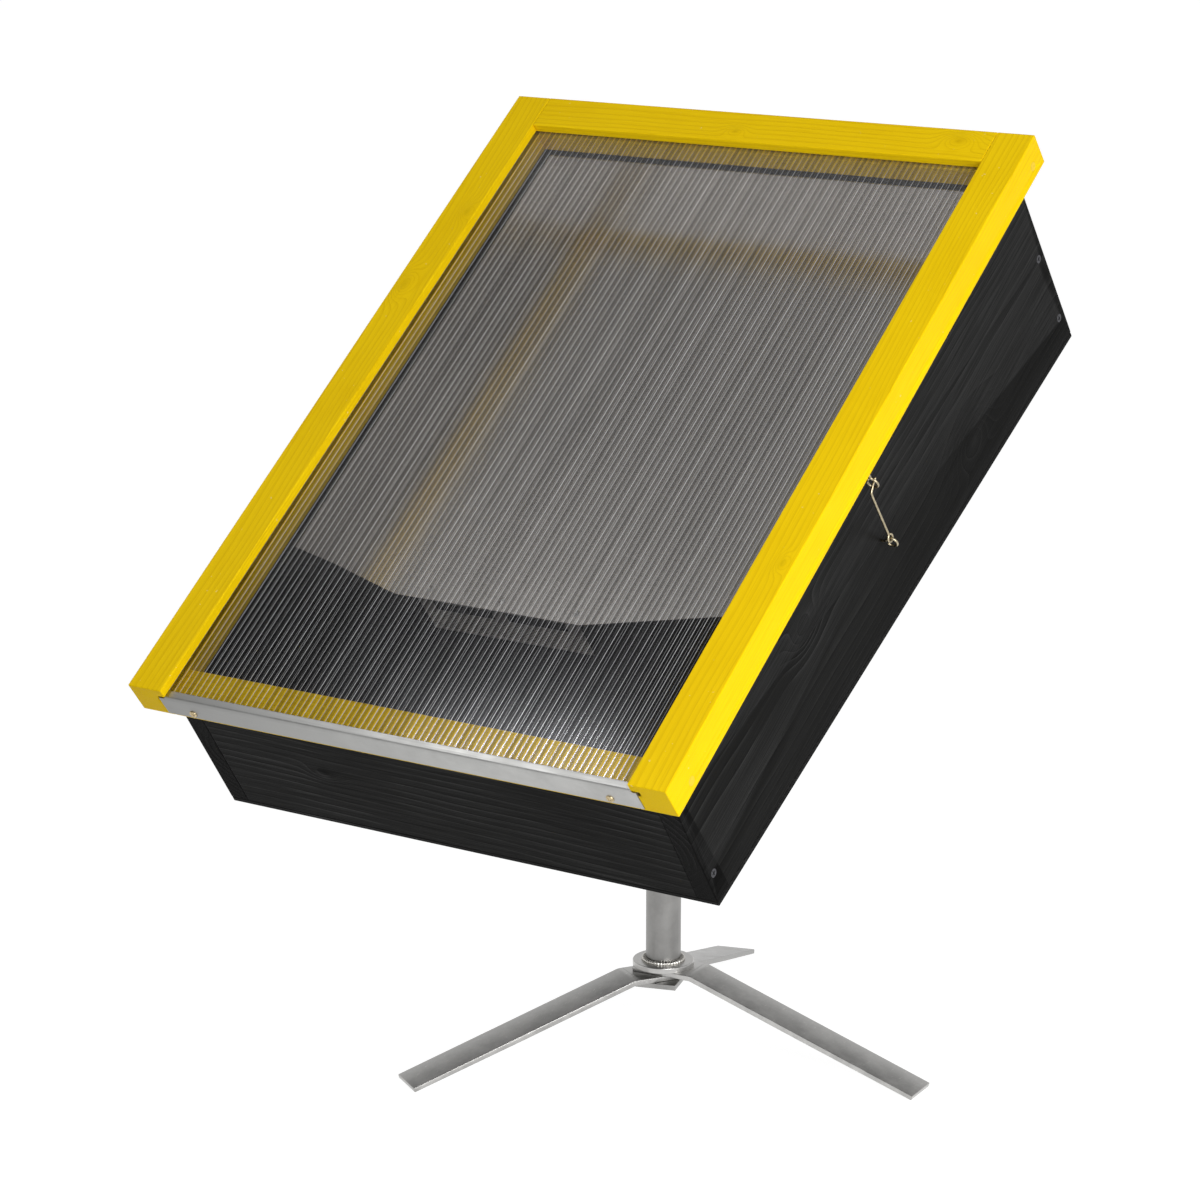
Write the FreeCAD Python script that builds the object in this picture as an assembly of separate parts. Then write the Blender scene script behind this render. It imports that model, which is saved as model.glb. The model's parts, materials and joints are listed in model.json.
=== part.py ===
import FreeCAD, Part
import math
import os

# Solar wax melter: a wedge-shaped wooden box with a glazed lid, carried by a pole on three flat legs.
# Millimetres. Lid and box pieces are drawn in the lid's own frame: X across to the right, Y up the
# slope, Z out of the lid's face, with zero at the middle of the lid's top face. Stand pieces are drawn
# upright about the pole, with zero on the floor.

# Lid frame and its glazing
LID_WIDTH = 545.0
LID_LENGTH = 723.0
LID_THICKNESS = 32.0
STILE_WIDTH = 36.0
TOP_RAIL_WIDTH = 36.0
BOTTOM_RAIL_WIDTH = 36.0
GLAZING_DROP = 9.0
GLAZING_THICKNESS = 4.5
GLAZING_SKIN = 0.5
GLAZING_WEB = 0.4
GLAZING_PITCH = 6.0
GROOVE_DEPTH = 8.0
GROOVE_PLAY = 0.2
GLAZING_SIDE_PLAY = 1.0

# Folded metal strip over the glazing's low edge
STRIP_THICKNESS = 1.0
STRIP_TOP_FLANGE = 12.0
STRIP_FACE_HEIGHT = 21.0
STRIP_SIDE_COVER = 5.5
STRIP_BEND_RADIUS = 1.6
STRIP_SCREW_INSET = 24.5
STRIP_SCREW_DROP = 14.5

# Wooden box
LID_SIDE_OVERHANG = 20.5
LID_FRONT_OVERHANG = 18.5
LID_REAR_OVERHANG = 17.0
BOARD = 19.0
BOX_FRONT_DEPTH = 135.5
BOX_WEDGE_DEG = 5.0
FRONT_LEAN_DEG = 4.1
REAR_LEAN_DEG = 2.0
BOTTOM_PANEL = 5.0

# Melting tray of bent sheet, with its strainer
TRAY_DEPTH = 52.0
TRAY_SHEET = 1.0
TRAY_UPSTAND = 48.0
TRAY_WALL_PLAY = 1.0
TRAY_NOSE_SETBACK = 163.0
TRAY_NOSE_WIDTH = 195.0
TRAY_NOSE_OFFSET = -49.5
TRAY_NOSE_RAKE_DEG = 14.6
TRAY_CHEEK_RAKE_DEG = 27.0
TRAY_RAIL = 20.0
TRAY_RAIL_START = 60.0
TRAY_RAIL_REAR_GAP = 20.0
STRAINER_WIDTH = 168.0
STRAINER_OFFSET = 12.0
STRAINER_SHEET = 1.0
STRAINER_DROP = 40.0
STRAINER_BAND = 27.0
STRAINER_TAB = 14.0
STRAINER_FLANGE = 20.0
STRAINER_PITCH = 2.4
STRAINER_WIRE = 0.8
STRAINER_HEM = 2.0
RIVET_DIAMETER = 3.0
RIVET_HEAD_DIAMETER = 6.0
RIVET_HEAD_HEIGHT = 1.0
RIVET_COUNT = 3

# Wax pan
PAN_WIDTH = 400.0
PAN_LENGTH = 190.0
PAN_HEIGHT = 48.0
PAN_WALL = 1.0
PAN_RIM = 5.0
PAN_FRONT_PLAY = 0.3

# Stand
LEG_WIDTH = 38.0
LEG_BAR = 5.0
LEG_BEND_RADIUS = 37.0
FOOT_FLAT = 0.8
HUB_CLEARANCE = 62.0
FLANGE_DIAMETER = 56.0
FLANGE_THICKNESS = 5.0
POST_DIAMETER = 32.0
POST_WALL = 2.0
POST_LENGTH = 330.0
WELD_LEG = 4.0
HUB_BOLT_DIAMETER = 8.0
HUB_BOLT_FLATS = 13.0
HUB_BOLT_HEAD = 5.3
HUB_NUT_HEIGHT = 6.5
HUB_BOLT_TAIL = 2.0
BOLT_PLAY = 0.1
LEG_RIGHT_AZIMUTH = 5.7
LEG_RIGHT_REACH = 258.0
LEG_RIGHT_TAIL = 22.0
LEG_LEFT_AZIMUTH = -121.0
LEG_LEFT_REACH = 253.0
LEG_LEFT_TAIL = 12.0
LEG_BACK_AZIMUTH = 107.7
LEG_BACK_REACH = 262.0
LEG_BACK_TAIL = 27.0

# Swivel head under the box
LID_TILT_DEG = 38.0
SOCKET_WALL = 3.0
SOCKET_PLAY = 0.05
SOCKET_OVERLAP = 100.0
SOCKET_STOP = 6.0
SOCKET_HEAD = 35.6
PLATE_WIDTH = 170.0
PLATE_LENGTH = 150.0
PLATE_THICKNESS = 5.0
PLATE_PAST_MIDDLE = 11.0
PLATE_SCREW_INSET = 20.0
MOUNT_BOARD = 19.0
MOUNT_BOARD_LENGTH = 190.0

# Hinges on the left side
HINGE_LENGTH = 60.0
HINGE_SPREAD = 440.0
HINGE_LEAF = 1.5
HINGE_LEAF_WIDTH = 18.0
HINGE_LID_LEAF_WIDTH = 15.0
HINGE_KNUCKLE_RADIUS = 3.2
HINGE_PIN_RADIUS = 1.5
HINGE_PIN_PLAY = 0.05
HINGE_STANDOFF = 3.5
HINGE_KNUCKLES = 5
HINGE_KNUCKLE_PLAY = 0.3

# Hook and eyes on the right side
WIRE_DIAMETER = 2.2
EYE_RADIUS = 5.0
EYE_SHANK = 12.0
HOOK_EYE_RADIUS = 3.6
HOOK_OUT = 10.0
HOOK_SLOPE_PLACE = -3.0
HOOK_PIVOT_DEPTH = 115.0
HOOK_KINK_DEPTH = 60.0
HOOK_KINK_AHEAD = 1.0
HOOK_TIP_RUN = 13.0
HOOK_TIP_RISE = 6.0
HOOK_BEND_RADIUS = 3.0
LID_EYE_DEPTH = 55.0
LID_EYE_AHEAD = 8.0

# Wood screws: shank diameter, length and head diameter
SIDE_SCREW = (3.5, 40.0, 7.5)
STRIP_SCREW = (3.0, 25.0, 6.5)
RAIL_SCREW = (3.5, 30.0, 7.0)
PLATE_SCREW = (4.5, 24.0, 9.0)
HINGE_SCREW = (3.0, 14.0, 5.6)
FRAME_SCREW = (4.0, 60.0, 8.0)
SCREW_PLAY = 0.05
RECESS_WIDTH = 0.9
FRAME_SCREW_SINK = 2.0
REAR_SCREW_DEPTHS = (92.0, 164.0)
FRONT_SCREW_DEPTHS = (25.0, 106.0)

# Worked out from the sizes above
LID_HALF = LID_WIDTH / 2
LID_END = LID_LENGTH / 2
OPENING_HALF = LID_HALF - STILE_WIDTH
BOX_HALF = LID_HALF - LID_SIDE_OVERHANG
INNER_HALF = BOX_HALF - BOARD
GLAZING_TOP = -GLAZING_DROP
GLAZING_BOTTOM = GLAZING_TOP - GLAZING_THICKNESS
TILT = math.radians(LID_TILT_DEG)
WEDGE = math.radians(BOX_WEDGE_DEG)
BOTTOM_SLOPE = TILT - WEDGE
FRONT_LEAN = math.tan(math.radians(FRONT_LEAN_DEG))
REAR_LEAN = math.tan(math.radians(REAR_LEAN_DEG))
FRONT_FOOT_Y = -LID_END + LID_FRONT_OVERHANG - BOX_FRONT_DEPTH * FRONT_LEAN
FRONT_FOOT_Z = -LID_THICKNESS - BOX_FRONT_DEPTH
REAR_TOP_Y = LID_END - LID_REAR_OVERHANG
BOX_BOTTOM_LENGTH = (REAR_TOP_Y - FRONT_FOOT_Y - BOX_FRONT_DEPTH * REAR_LEAN) / (
    math.cos(WEDGE) + math.sin(WEDGE) * REAR_LEAN)
REAR_FOOT_Y = FRONT_FOOT_Y + BOX_BOTTOM_LENGTH * math.cos(WEDGE)
REAR_FOOT_Z = FRONT_FOOT_Z - BOX_BOTTOM_LENGTH * math.sin(WEDGE)
PLATE_ALONG_BOTTOM = BOX_BOTTOM_LENGTH / 2 + PLATE_PAST_MIDDLE
TRAY_FLOOR = -LID_THICKNESS - TRAY_DEPTH
FLANGE_TOP = HUB_CLEARANCE + 3 * LEG_BAR + FLANGE_THICKNESS
POST_TOP = FLANGE_TOP + POST_LENGTH
ANCHOR_Z = POST_TOP + SOCKET_STOP + SOCKET_HEAD + PLATE_THICKNESS / math.cos(BOTTOM_SLOPE)


def front_y(z):
    """Outer face of the front board at height z of the lid frame."""
    return FRONT_FOOT_Y + (z - FRONT_FOOT_Z) * FRONT_LEAN


def rear_y(z):
    """Outer face of the rear board at height z of the lid frame."""
    return REAR_FOOT_Y + (z - REAR_FOOT_Z) * REAR_LEAN


def bottom_point(along, above):
    """Point (Y, Z) at a distance along the box's underside from the front, and above it."""
    y = FRONT_FOOT_Y + along * math.cos(WEDGE) + above * math.sin(WEDGE)
    z = FRONT_FOOT_Z - along * math.sin(WEDGE) + above * math.cos(WEDGE)
    return y, z


def panel_corner(along, face, lean, offset):
    """Point (Y, Z) where a board's face, moved by offset in Y, meets the bottom panel's top."""
    y, z = bottom_point(along, BOTTOM_PANEL)
    step = (offset - (y - face(z))) / (math.cos(WEDGE) + math.sin(WEDGE) * lean)
    return bottom_point(along + step, BOTTOM_PANEL)


def vec(x, y, z):
    return FreeCAD.Vector(x, y, z)


def block(x0, x1, y0, y1, z0, z1):
    """Straight box between two corners."""
    return Part.makeBox(x1 - x0, y1 - y0, z1 - z0, vec(x0, y0, z0))


def outline_face(points):
    return Part.Face(Part.makePolygon(points + [points[0]]))


def across(profile, x0, x1):
    """Prism along X of a side outline given as (Y, Z) points."""
    face = outline_face([vec(x0, y, z) for y, z in profile])
    return face.extrude(vec(x1 - x0, 0, 0))


def flat_plate(profile, z0, z1):
    """Prism along Z of a plan outline given as (X, Y) points."""
    face = outline_face([vec(x, y, z0) for x, y in profile])
    return face.extrude(vec(0, 0, z1 - z0))


def rod(radius, start, end):
    """Round bar from start to end."""
    run = end.sub(start)
    return Part.makeCylinder(radius, run.Length, start, run)


def joined(shapes):
    whole = shapes[0].fuse(shapes[1:]) if len(shapes) > 1 else shapes[0]
    return whole.removeSplitter()


def cut_away(shape, tools):
    """Shape with every tool cut out of it."""
    return shape.cut(Part.makeCompound(tools)) if tools else shape


def bent_wire(points, bend_radius, diameter):
    """Round wire along straight runs joined by tangent arcs."""
    edges = []
    start = points[0]
    for before, corner, after in zip(points, points[1:], points[2:]):
        back = before.sub(corner).normalize()
        ahead = after.sub(corner).normalize()
        turn = math.pi - math.acos(max(-1.0, min(1.0, back.dot(ahead))))
        trim = bend_radius * math.tan(turn / 2)
        enter = corner.add(back * trim)
        leave = corner.add(ahead * trim)
        bisector = back.add(ahead).normalize()
        middle = corner.add(bisector * (bend_radius / math.cos(turn / 2) - bend_radius))
        edges.append(Part.LineSegment(start, enter).toShape())
        edges.append(Part.Arc(enter, middle, leave).toShape())
        start = leave
    edges.append(Part.LineSegment(start, points[-1]).toShape())
    run = points[1].sub(points[0])
    profile = Part.Wire([Part.Circle(points[0], run, diameter / 2).toShape()])
    return Part.Wire(edges).makePipeShell([profile], True, False)


def screw(head, direction, size, recess=True):
    """Countersunk wood screw: head is the middle of its flat head, direction points into the wood."""
    shank, length, head_diameter = size
    cone = (head_diameter - shank) / 2
    body = Part.makeCone(head_diameter / 2, shank / 2, cone, head, direction)
    body = body.fuse(Part.makeCylinder(shank / 2, length - cone, head + direction * cone, direction))
    if recess:
        arm = head_diameter * 0.6
        cross = block(-arm / 2, arm / 2, -RECESS_WIDTH / 2, RECESS_WIDTH / 2, 0, cone * 0.6)
        cross = cross.fuse(block(-RECESS_WIDTH / 2, RECESS_WIDTH / 2, -arm / 2, arm / 2, 0, cone * 0.6))
        cross.Placement = FreeCAD.Placement(head, FreeCAD.Rotation(vec(0, 0, 1), direction))
        body = body.cut(cross)
    return body


def screw_hole(head, direction, size, sink=0.0):
    """Hole that a countersunk screw fills, with a little play, and a counterbore where it is sunk."""
    shank, length, head_diameter = size
    cone = (head_diameter - shank) / 2
    parts = [Part.makeCone(head_diameter / 2 + SCREW_PLAY, shank / 2 + SCREW_PLAY, cone, head, direction)]
    tail = length - cone + SCREW_PLAY
    parts.append(Part.makeCylinder(shank / 2 + SCREW_PLAY, tail, head + direction * cone, direction))
    if sink:
        parts.append(Part.makeCylinder(head_diameter / 2 + SCREW_PLAY, sink, head, direction * -1))
    return joined(parts)


def screw_set(places, size, recess=True):
    """Screws and their holes at a list of (head, direction)."""
    screws = [screw(head, direction, size, recess) for head, direction in places]
    holes = [screw_hole(head, direction, size) for head, direction in places]
    return screws, holes


LEFT = vec(-1, 0, 0)
RIGHT = vec(1, 0, 0)
UPSLOPE = vec(0, 1, 0)
OUT = vec(0, 0, 1)
IN = vec(0, 0, -1)


def strip_screw_places():
    """Two screws through the folded strip into the bottom rail."""
    half = OPENING_HALF - STRIP_SCREW_INSET
    face = -LID_END - STRIP_THICKNESS
    return [(vec(x, face, -GLAZING_DROP - STRIP_SCREW_DROP), UPSLOPE) for x in (-half, half)]


def frame_screw_places():
    """Sunk screws through the stiles into the rails' ends, one at each corner."""
    middle = -LID_THICKNESS / 2
    low = (GLAZING_BOTTOM - LID_THICKNESS) / 2
    places = []
    for side in (-1, 1):
        head = side * (LID_HALF - FRAME_SCREW_SINK)
        inward = vec(-side, 0, 0)
        places.append((vec(head, LID_END - TOP_RAIL_WIDTH / 2, middle - GLAZING_THICKNESS), inward))
        places.append((vec(head, -LID_END + BOTTOM_RAIL_WIDTH * 0.8, low), inward))
    return places


def screw_fillers():
    """Plugs of wood filler over the sunk corner screws, flush with the stiles."""
    radius = FRAME_SCREW[2] / 2
    return [Part.makeCylinder(radius, FRAME_SCREW_SINK, head, into * -1) for head, into in frame_screw_places()]


def hinge_middles():
    return (-HINGE_SPREAD / 2, HINGE_SPREAD / 2)


def hinge_axis():
    """Axis of the lid's hinges as (X, Z) of the lid frame."""
    return -BOX_HALF - HINGE_STANDOFF, -LID_THICKNESS - HINGE_STANDOFF


def hinge_leaf_screws(middle):
    """Screw rows of one hinge: heads on the box leaf and on the lid leaf."""
    axis_x, axis_z = hinge_axis()
    box = []
    lid = []
    for shift in (-0.36, 0.0, 0.36):
        y = middle + shift * HINGE_LENGTH
        box.append((vec(-BOX_HALF - HINGE_LEAF, y, axis_z - HINGE_LEAF_WIDTH * 0.6), RIGHT))
        lid.append((vec(axis_x - HINGE_LID_LEAF_WIDTH * 0.6, y, -LID_THICKNESS - HINGE_LEAF), OUT))
    return box, lid


def stile(side, holes):
    """Long side member of the lid, grooved for the glazing."""
    inner = side * OPENING_HALF
    outer = side * LID_HALF
    bar = block(min(inner, outer), max(inner, outer), -LID_END, LID_END, -LID_THICKNESS, 0)
    bottom = side * (OPENING_HALF + GROOVE_DEPTH)
    groove = block(min(inner, bottom), max(inner, bottom), -LID_END, LID_END - TOP_RAIL_WIDTH + GROOVE_DEPTH,
                   GLAZING_BOTTOM, GLAZING_TOP + GROOVE_PLAY)
    return cut_away(bar, [groove] + holes)


def top_rail(holes):
    bar = block(-OPENING_HALF, OPENING_HALF, LID_END - TOP_RAIL_WIDTH, LID_END, -LID_THICKNESS, 0)
    groove = block(-OPENING_HALF, OPENING_HALF, LID_END - TOP_RAIL_WIDTH, LID_END - TOP_RAIL_WIDTH + GROOVE_DEPTH,
                   GLAZING_BOTTOM, GLAZING_TOP + GROOVE_PLAY)
    return cut_away(bar, [groove] + holes)


def bottom_rail(holes):
    """Thinner low member: the glazing lies on it."""
    bar = block(-OPENING_HALF, OPENING_HALF, -LID_END, -LID_END + BOTTOM_RAIL_WIDTH, -LID_THICKNESS, GLAZING_BOTTOM)
    return cut_away(bar, holes)


def glazing():
    """Twin-wall sheet: two skins joined by webs, with open channels that run up the slope."""
    half = OPENING_HALF + GROOVE_DEPTH - GLAZING_SIDE_PLAY
    top_end = LID_END - TOP_RAIL_WIDTH + GROOVE_DEPTH - GLAZING_SIDE_PLAY
    count = int((2 * half - 2 * GLAZING_WEB) / GLAZING_PITCH)
    first = -count * GLAZING_PITCH / 2
    low = GLAZING_BOTTOM + GLAZING_SKIN
    high = GLAZING_TOP - GLAZING_SKIN
    section = outline_face([vec(x, -LID_END, z) for x, z in ((-half, GLAZING_BOTTOM), (half, GLAZING_BOTTOM),
                                                            (half, GLAZING_TOP), (-half, GLAZING_TOP))])
    channels = []
    for index in range(count):
        x0 = first + index * GLAZING_PITCH + GLAZING_WEB / 2
        x1 = x0 + GLAZING_PITCH - GLAZING_WEB
        channels.append(outline_face([vec(x, -LID_END, z) for x, z in ((x0, low), (x1, low), (x1, high), (x0, high))]))
    return cut_away(section, channels).extrude(vec(0, top_end + LID_END, 0))


def edge_strip(holes):
    """Folded angle: a flange on the glazing between the stiles and a face over the rail's front."""
    face_y = -LID_END
    top_z = GLAZING_TOP + STRIP_THICKNESS
    cover = OPENING_HALF + STRIP_SIDE_COVER
    radius = STRIP_BEND_RADIUS
    outer = face_y - STRIP_THICKNESS
    bulge = radius * (1 - math.sqrt(0.5))
    corner = Part.Arc(vec(0, outer, top_z - radius), vec(0, outer + bulge, top_z - bulge),
                      vec(0, outer + radius, top_z)).toShape()
    run = [vec(0, outer + radius, top_z), vec(0, face_y + STRIP_TOP_FLANGE, top_z),
           vec(0, face_y + STRIP_TOP_FLANGE, GLAZING_TOP), vec(0, face_y, GLAZING_TOP),
           vec(0, face_y, top_z - STRIP_FACE_HEIGHT), vec(0, outer, top_z - STRIP_FACE_HEIGHT),
           vec(0, outer, top_z - radius)]
    section = Part.Face(Part.Wire([corner] + [Part.LineSegment(a, b).toShape() for a, b in zip(run, run[1:])]))
    section.translate(vec(-cover, 0, 0))
    strip = section.extrude(vec(2 * cover, 0, 0))
    notches = []
    for side in (-1, 1):
        deep = STRIP_TOP_FLANGE + STRIP_THICKNESS
        near = side * (OPENING_HALF - GROOVE_PLAY)
        far = side * (cover + STRIP_THICKNESS)
        notches.append(flat_plate([(near, face_y), (near - side * deep / 2, face_y + deep),
                                   (far, face_y + deep), (far, face_y)], GLAZING_TOP - STRIP_THICKNESS, top_z + 1))
    return cut_away(strip, notches + holes)


def side_board(side, holes):
    """Wedge-shaped long side of the box."""
    top = -LID_THICKNESS
    profile = [panel_corner(0, front_y, FRONT_LEAN, 0), panel_corner(BOX_BOTTOM_LENGTH, rear_y, REAR_LEAN, 0),
               (rear_y(top), top), (front_y(top), top)]
    inner = side * INNER_HALF
    outer = side * BOX_HALF
    return cut_away(across(profile, min(inner, outer), max(inner, outer)), holes)


def front_board(holes):
    thick = BOARD / math.cos(math.radians(FRONT_LEAN_DEG))
    top = -LID_THICKNESS
    profile = [panel_corner(0, front_y, FRONT_LEAN, 0), panel_corner(0, front_y, FRONT_LEAN, thick),
               (front_y(top) + thick, top), (front_y(top), top)]
    return cut_away(across(profile, -INNER_HALF, INNER_HALF), holes)


def rear_board(holes):
    thick = BOARD / math.cos(math.radians(REAR_LEAN_DEG))
    top = -LID_THICKNESS
    profile = [panel_corner(BOX_BOTTOM_LENGTH, rear_y, REAR_LEAN, 0),
               panel_corner(BOX_BOTTOM_LENGTH, rear_y, REAR_LEAN, -thick),
               (rear_y(top) - thick, top), (rear_y(top), top)]
    return cut_away(across(profile, -INNER_HALF, INNER_HALF), holes)


def bottom_panel(holes):
    profile = [(FRONT_FOOT_Y, FRONT_FOOT_Z), (REAR_FOOT_Y, REAR_FOOT_Z),
               panel_corner(BOX_BOTTOM_LENGTH, rear_y, REAR_LEAN, 0), panel_corner(0, front_y, FRONT_LEAN, 0)]
    return cut_away(across(profile, -BOX_HALF, BOX_HALF), holes)


def board_screw_places():
    """Screws through the side boards into the ends of the front and rear boards."""
    places = []
    for side in (-1, 1):
        inward = vec(-side, 0, 0)
        for depth in REAR_SCREW_DEPTHS:
            z = -LID_THICKNESS - depth
            places.append((vec(side * BOX_HALF, rear_y(z) - BOARD / 2, z), inward))
        for depth in FRONT_SCREW_DEPTHS:
            z = -LID_THICKNESS - depth
            places.append((vec(side * BOX_HALF, front_y(z) + BOARD / 2, z), inward))
    return places


def tray_front_y():
    """Y of the tray's nose."""
    return front_y(TRAY_FLOOR) + BOARD + TRAY_NOSE_SETBACK


def tray_rear_y():
    return rear_y(TRAY_FLOOR) - BOARD - TRAY_WALL_PLAY


def melting_tray(holes):
    """Flat floor with a blunt nose at its low end and upstands on the other three sides."""
    half = INNER_HALF - TRAY_WALL_PLAY
    nose = tray_front_y()
    rear = tray_rear_y()
    rake = math.tan(math.radians(TRAY_NOSE_RAKE_DEG))
    lean = TRAY_UPSTAND * math.tan(math.radians(TRAY_CHEEK_RAKE_DEG))
    nose_left = TRAY_NOSE_OFFSET - TRAY_NOSE_WIDTH / 2
    nose_right = TRAY_NOSE_OFFSET + TRAY_NOSE_WIDTH / 2
    left_front = nose + (nose_left + half) * rake
    right_front = nose + (half - nose_right) * rake
    floor = flat_plate([(-half, left_front), (nose_left, nose), (nose_right, nose), (half, right_front),
                        (half, rear), (-half, rear)], TRAY_FLOOR - TRAY_SHEET, TRAY_FLOOR)
    top = TRAY_FLOOR + TRAY_UPSTAND
    base = TRAY_FLOOR - TRAY_SHEET
    left = across([(left_front, base), (rear, base), (rear, top), (left_front - lean, top)], -half, -half + TRAY_SHEET)
    right = across([(right_front, base), (rear, base), (rear, top), (right_front - lean, top)], half - TRAY_SHEET, half)
    back = block(-half, half, rear - TRAY_SHEET, rear, base, top)
    return cut_away(joined([floor, left, right, back]), holes)


def rail_span():
    """Start and end along the slope of the battens that carry the tray."""
    return tray_front_y() + TRAY_RAIL_START, tray_rear_y() - TRAY_RAIL_REAR_GAP


def tray_rail(side, holes):
    start, end = rail_span()
    top = TRAY_FLOOR - TRAY_SHEET
    inner = side * (INNER_HALF - TRAY_RAIL)
    outer = side * INNER_HALF
    return cut_away(block(min(inner, outer), max(inner, outer), start, end, top - TRAY_RAIL, top), holes)


def rail_screw_places(side):
    start, end = rail_span()
    z = TRAY_FLOOR - TRAY_SHEET - TRAY_RAIL / 2
    return [(vec(side * (INNER_HALF - TRAY_RAIL), start + share * (end - start), z), vec(side, 0, 0))
            for share in (0.1, 0.5, 0.9)]


def rivet_places():
    """Rivets over the strainer's tabs, as (X, Y)."""
    y = tray_front_y() + STRAINER_SHEET + STRAINER_FLANGE / 2
    spread = STRAINER_WIDTH - STRAINER_TAB
    middle = TRAY_NOSE_OFFSET + STRAINER_OFFSET
    return [(middle + spread * (index / (RIVET_COUNT - 1) - 0.5), y) for index in range(RIVET_COUNT)]


def rivet(x, y):
    """Rivet through the tray's floor and the strainer's flange."""
    low = TRAY_FLOOR - TRAY_SHEET - STRAINER_SHEET
    shank = Part.makeCylinder(RIVET_DIAMETER / 2, TRAY_FLOOR - low, vec(x, y, low))
    upper = Part.makeCone(RIVET_HEAD_DIAMETER / 2, RIVET_DIAMETER / 2, RIVET_HEAD_HEIGHT, vec(x, y, TRAY_FLOOR))
    lower = Part.makeCone(RIVET_HEAD_DIAMETER / 2, RIVET_DIAMETER / 2, RIVET_HEAD_HEIGHT, vec(x, y, low), IN)
    return joined([shank, upper, lower])


def rivet_hole(x, y):
    low = TRAY_FLOOR - TRAY_SHEET - STRAINER_SHEET
    return Part.makeCylinder(RIVET_DIAMETER / 2 + SCREW_PLAY, TRAY_SHEET + STRAINER_SHEET, vec(x, y, low))


def strainer(holes):
    """Band of square mesh that hangs on tabs from a flange under the tray's nose."""
    top = TRAY_FLOOR - TRAY_SHEET
    nose = tray_front_y()
    middle = TRAY_NOSE_OFFSET + STRAINER_OFFSET
    x0 = middle - STRAINER_WIDTH / 2
    x1 = x0 + STRAINER_WIDTH
    low = top - STRAINER_DROP

    def upright(left, right, bottom, high):
        return outline_face([vec(x, nose, z) for x, z in ((left, bottom), (right, bottom), (right, high), (left, high))])

    columns = int((STRAINER_WIDTH - 2 * STRAINER_HEM) / STRAINER_PITCH)
    rows = int((STRAINER_BAND - 2 * STRAINER_HEM) / STRAINER_PITCH)
    half = (STRAINER_PITCH - STRAINER_WIRE) / 2
    openings = []
    for row in range(rows):
        z = low + STRAINER_BAND / 2 + (row - (rows - 1) / 2) * STRAINER_PITCH
        for column in range(columns):
            x = middle + (column - (columns - 1) / 2) * STRAINER_PITCH
            openings.append(upright(x - half, x + half, z - half, z + half))
    span = (STRAINER_WIDTH - RIVET_COUNT * STRAINER_TAB) / (RIVET_COUNT - 1)
    for window in range(RIVET_COUNT - 1):
        left = x0 + STRAINER_TAB + window * (span + STRAINER_TAB)
        openings.append(upright(left, left + span, low + STRAINER_BAND, top - STRAINER_SHEET))
    face = cut_away(upright(x0, x1, low, top), openings).extrude(vec(0, STRAINER_SHEET, 0))
    flange = block(x0, x1, nose + STRAINER_SHEET, nose + STRAINER_SHEET + STRAINER_FLANGE, top - STRAINER_SHEET, top)
    return face.fuse(cut_away(flange, holes))


def on_bottom(shape):
    """Place a piece drawn over the box's underside: Y along it from the front, Z square to it."""
    turn = FreeCAD.Placement(vec(0, 0, 0), FreeCAD.Rotation(vec(1, 0, 0), -BOX_WEDGE_DEG))
    shift = FreeCAD.Placement(vec(0, FRONT_FOOT_Y, FRONT_FOOT_Z), FreeCAD.Rotation())
    return moved(shape, shift.multiply(turn))


def moved(shape, placement):
    shape = shape.copy()
    shape.Placement = placement.multiply(shape.Placement)
    return shape


def wax_pan():
    """Shallow rimmed pan that catches the wax at the box's low end."""
    half = PAN_WIDTH / 2
    y0 = BOARD / math.cos(math.radians(FRONT_LEAN_DEG)) + PAN_FRONT_PLAY + PAN_RIM
    y1 = y0 + PAN_LENGTH
    z0 = BOTTOM_PANEL
    z1 = z0 + PAN_HEIGHT
    body = block(-half, half, y0, y1, z0, z1)
    rim = block(-half - PAN_RIM, half + PAN_RIM, y0 - PAN_RIM, y1 + PAN_RIM, z1 - PAN_WALL, z1)
    inside = block(-half + PAN_WALL, half - PAN_WALL, y0 + PAN_WALL, y1 - PAN_WALL, z0 + PAN_WALL, z1 + 1)
    return on_bottom(joined([body, rim]).cut(inside))


def mount_board(holes):
    """Stout board inside the bottom that takes the swivel plate's screws."""
    middle = PLATE_ALONG_BOTTOM
    board = block(-INNER_HALF, INNER_HALF, middle - MOUNT_BOARD_LENGTH / 2, middle + MOUNT_BOARD_LENGTH / 2,
                  BOTTOM_PANEL, BOTTOM_PANEL + MOUNT_BOARD)
    return on_bottom(cut_away(board, holes))


def plate_screw_places():
    """Four screws up through the swivel plate, drawn over the underside."""
    half_x = PLATE_WIDTH / 2 - PLATE_SCREW_INSET
    half_y = PLATE_LENGTH / 2 - PLATE_SCREW_INSET
    return [(vec(x, PLATE_ALONG_BOTTOM + y, -PLATE_THICKNESS), OUT)
            for x in (-half_x, half_x) for y in (-half_y, half_y)]


def swivel_plate(holes):
    half_x = PLATE_WIDTH / 2
    half_y = PLATE_LENGTH / 2
    plate = block(-half_x, half_x, PLATE_ALONG_BOTTOM - half_y, PLATE_ALONG_BOTTOM + half_y, -PLATE_THICKNESS, 0)
    return on_bottom(cut_away(plate, holes))


def hinge_knuckle(middle, index):
    """One knuckle of a hinge about the axis."""
    axis_x, axis_z = hinge_axis()
    pitch = HINGE_LENGTH / HINGE_KNUCKLES
    y0 = middle - HINGE_LENGTH / 2 + index * pitch + HINGE_KNUCKLE_PLAY / 2
    return Part.makeCylinder(HINGE_KNUCKLE_RADIUS, pitch - HINGE_KNUCKLE_PLAY, vec(axis_x, y0, axis_z), UPSLOPE)


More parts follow.
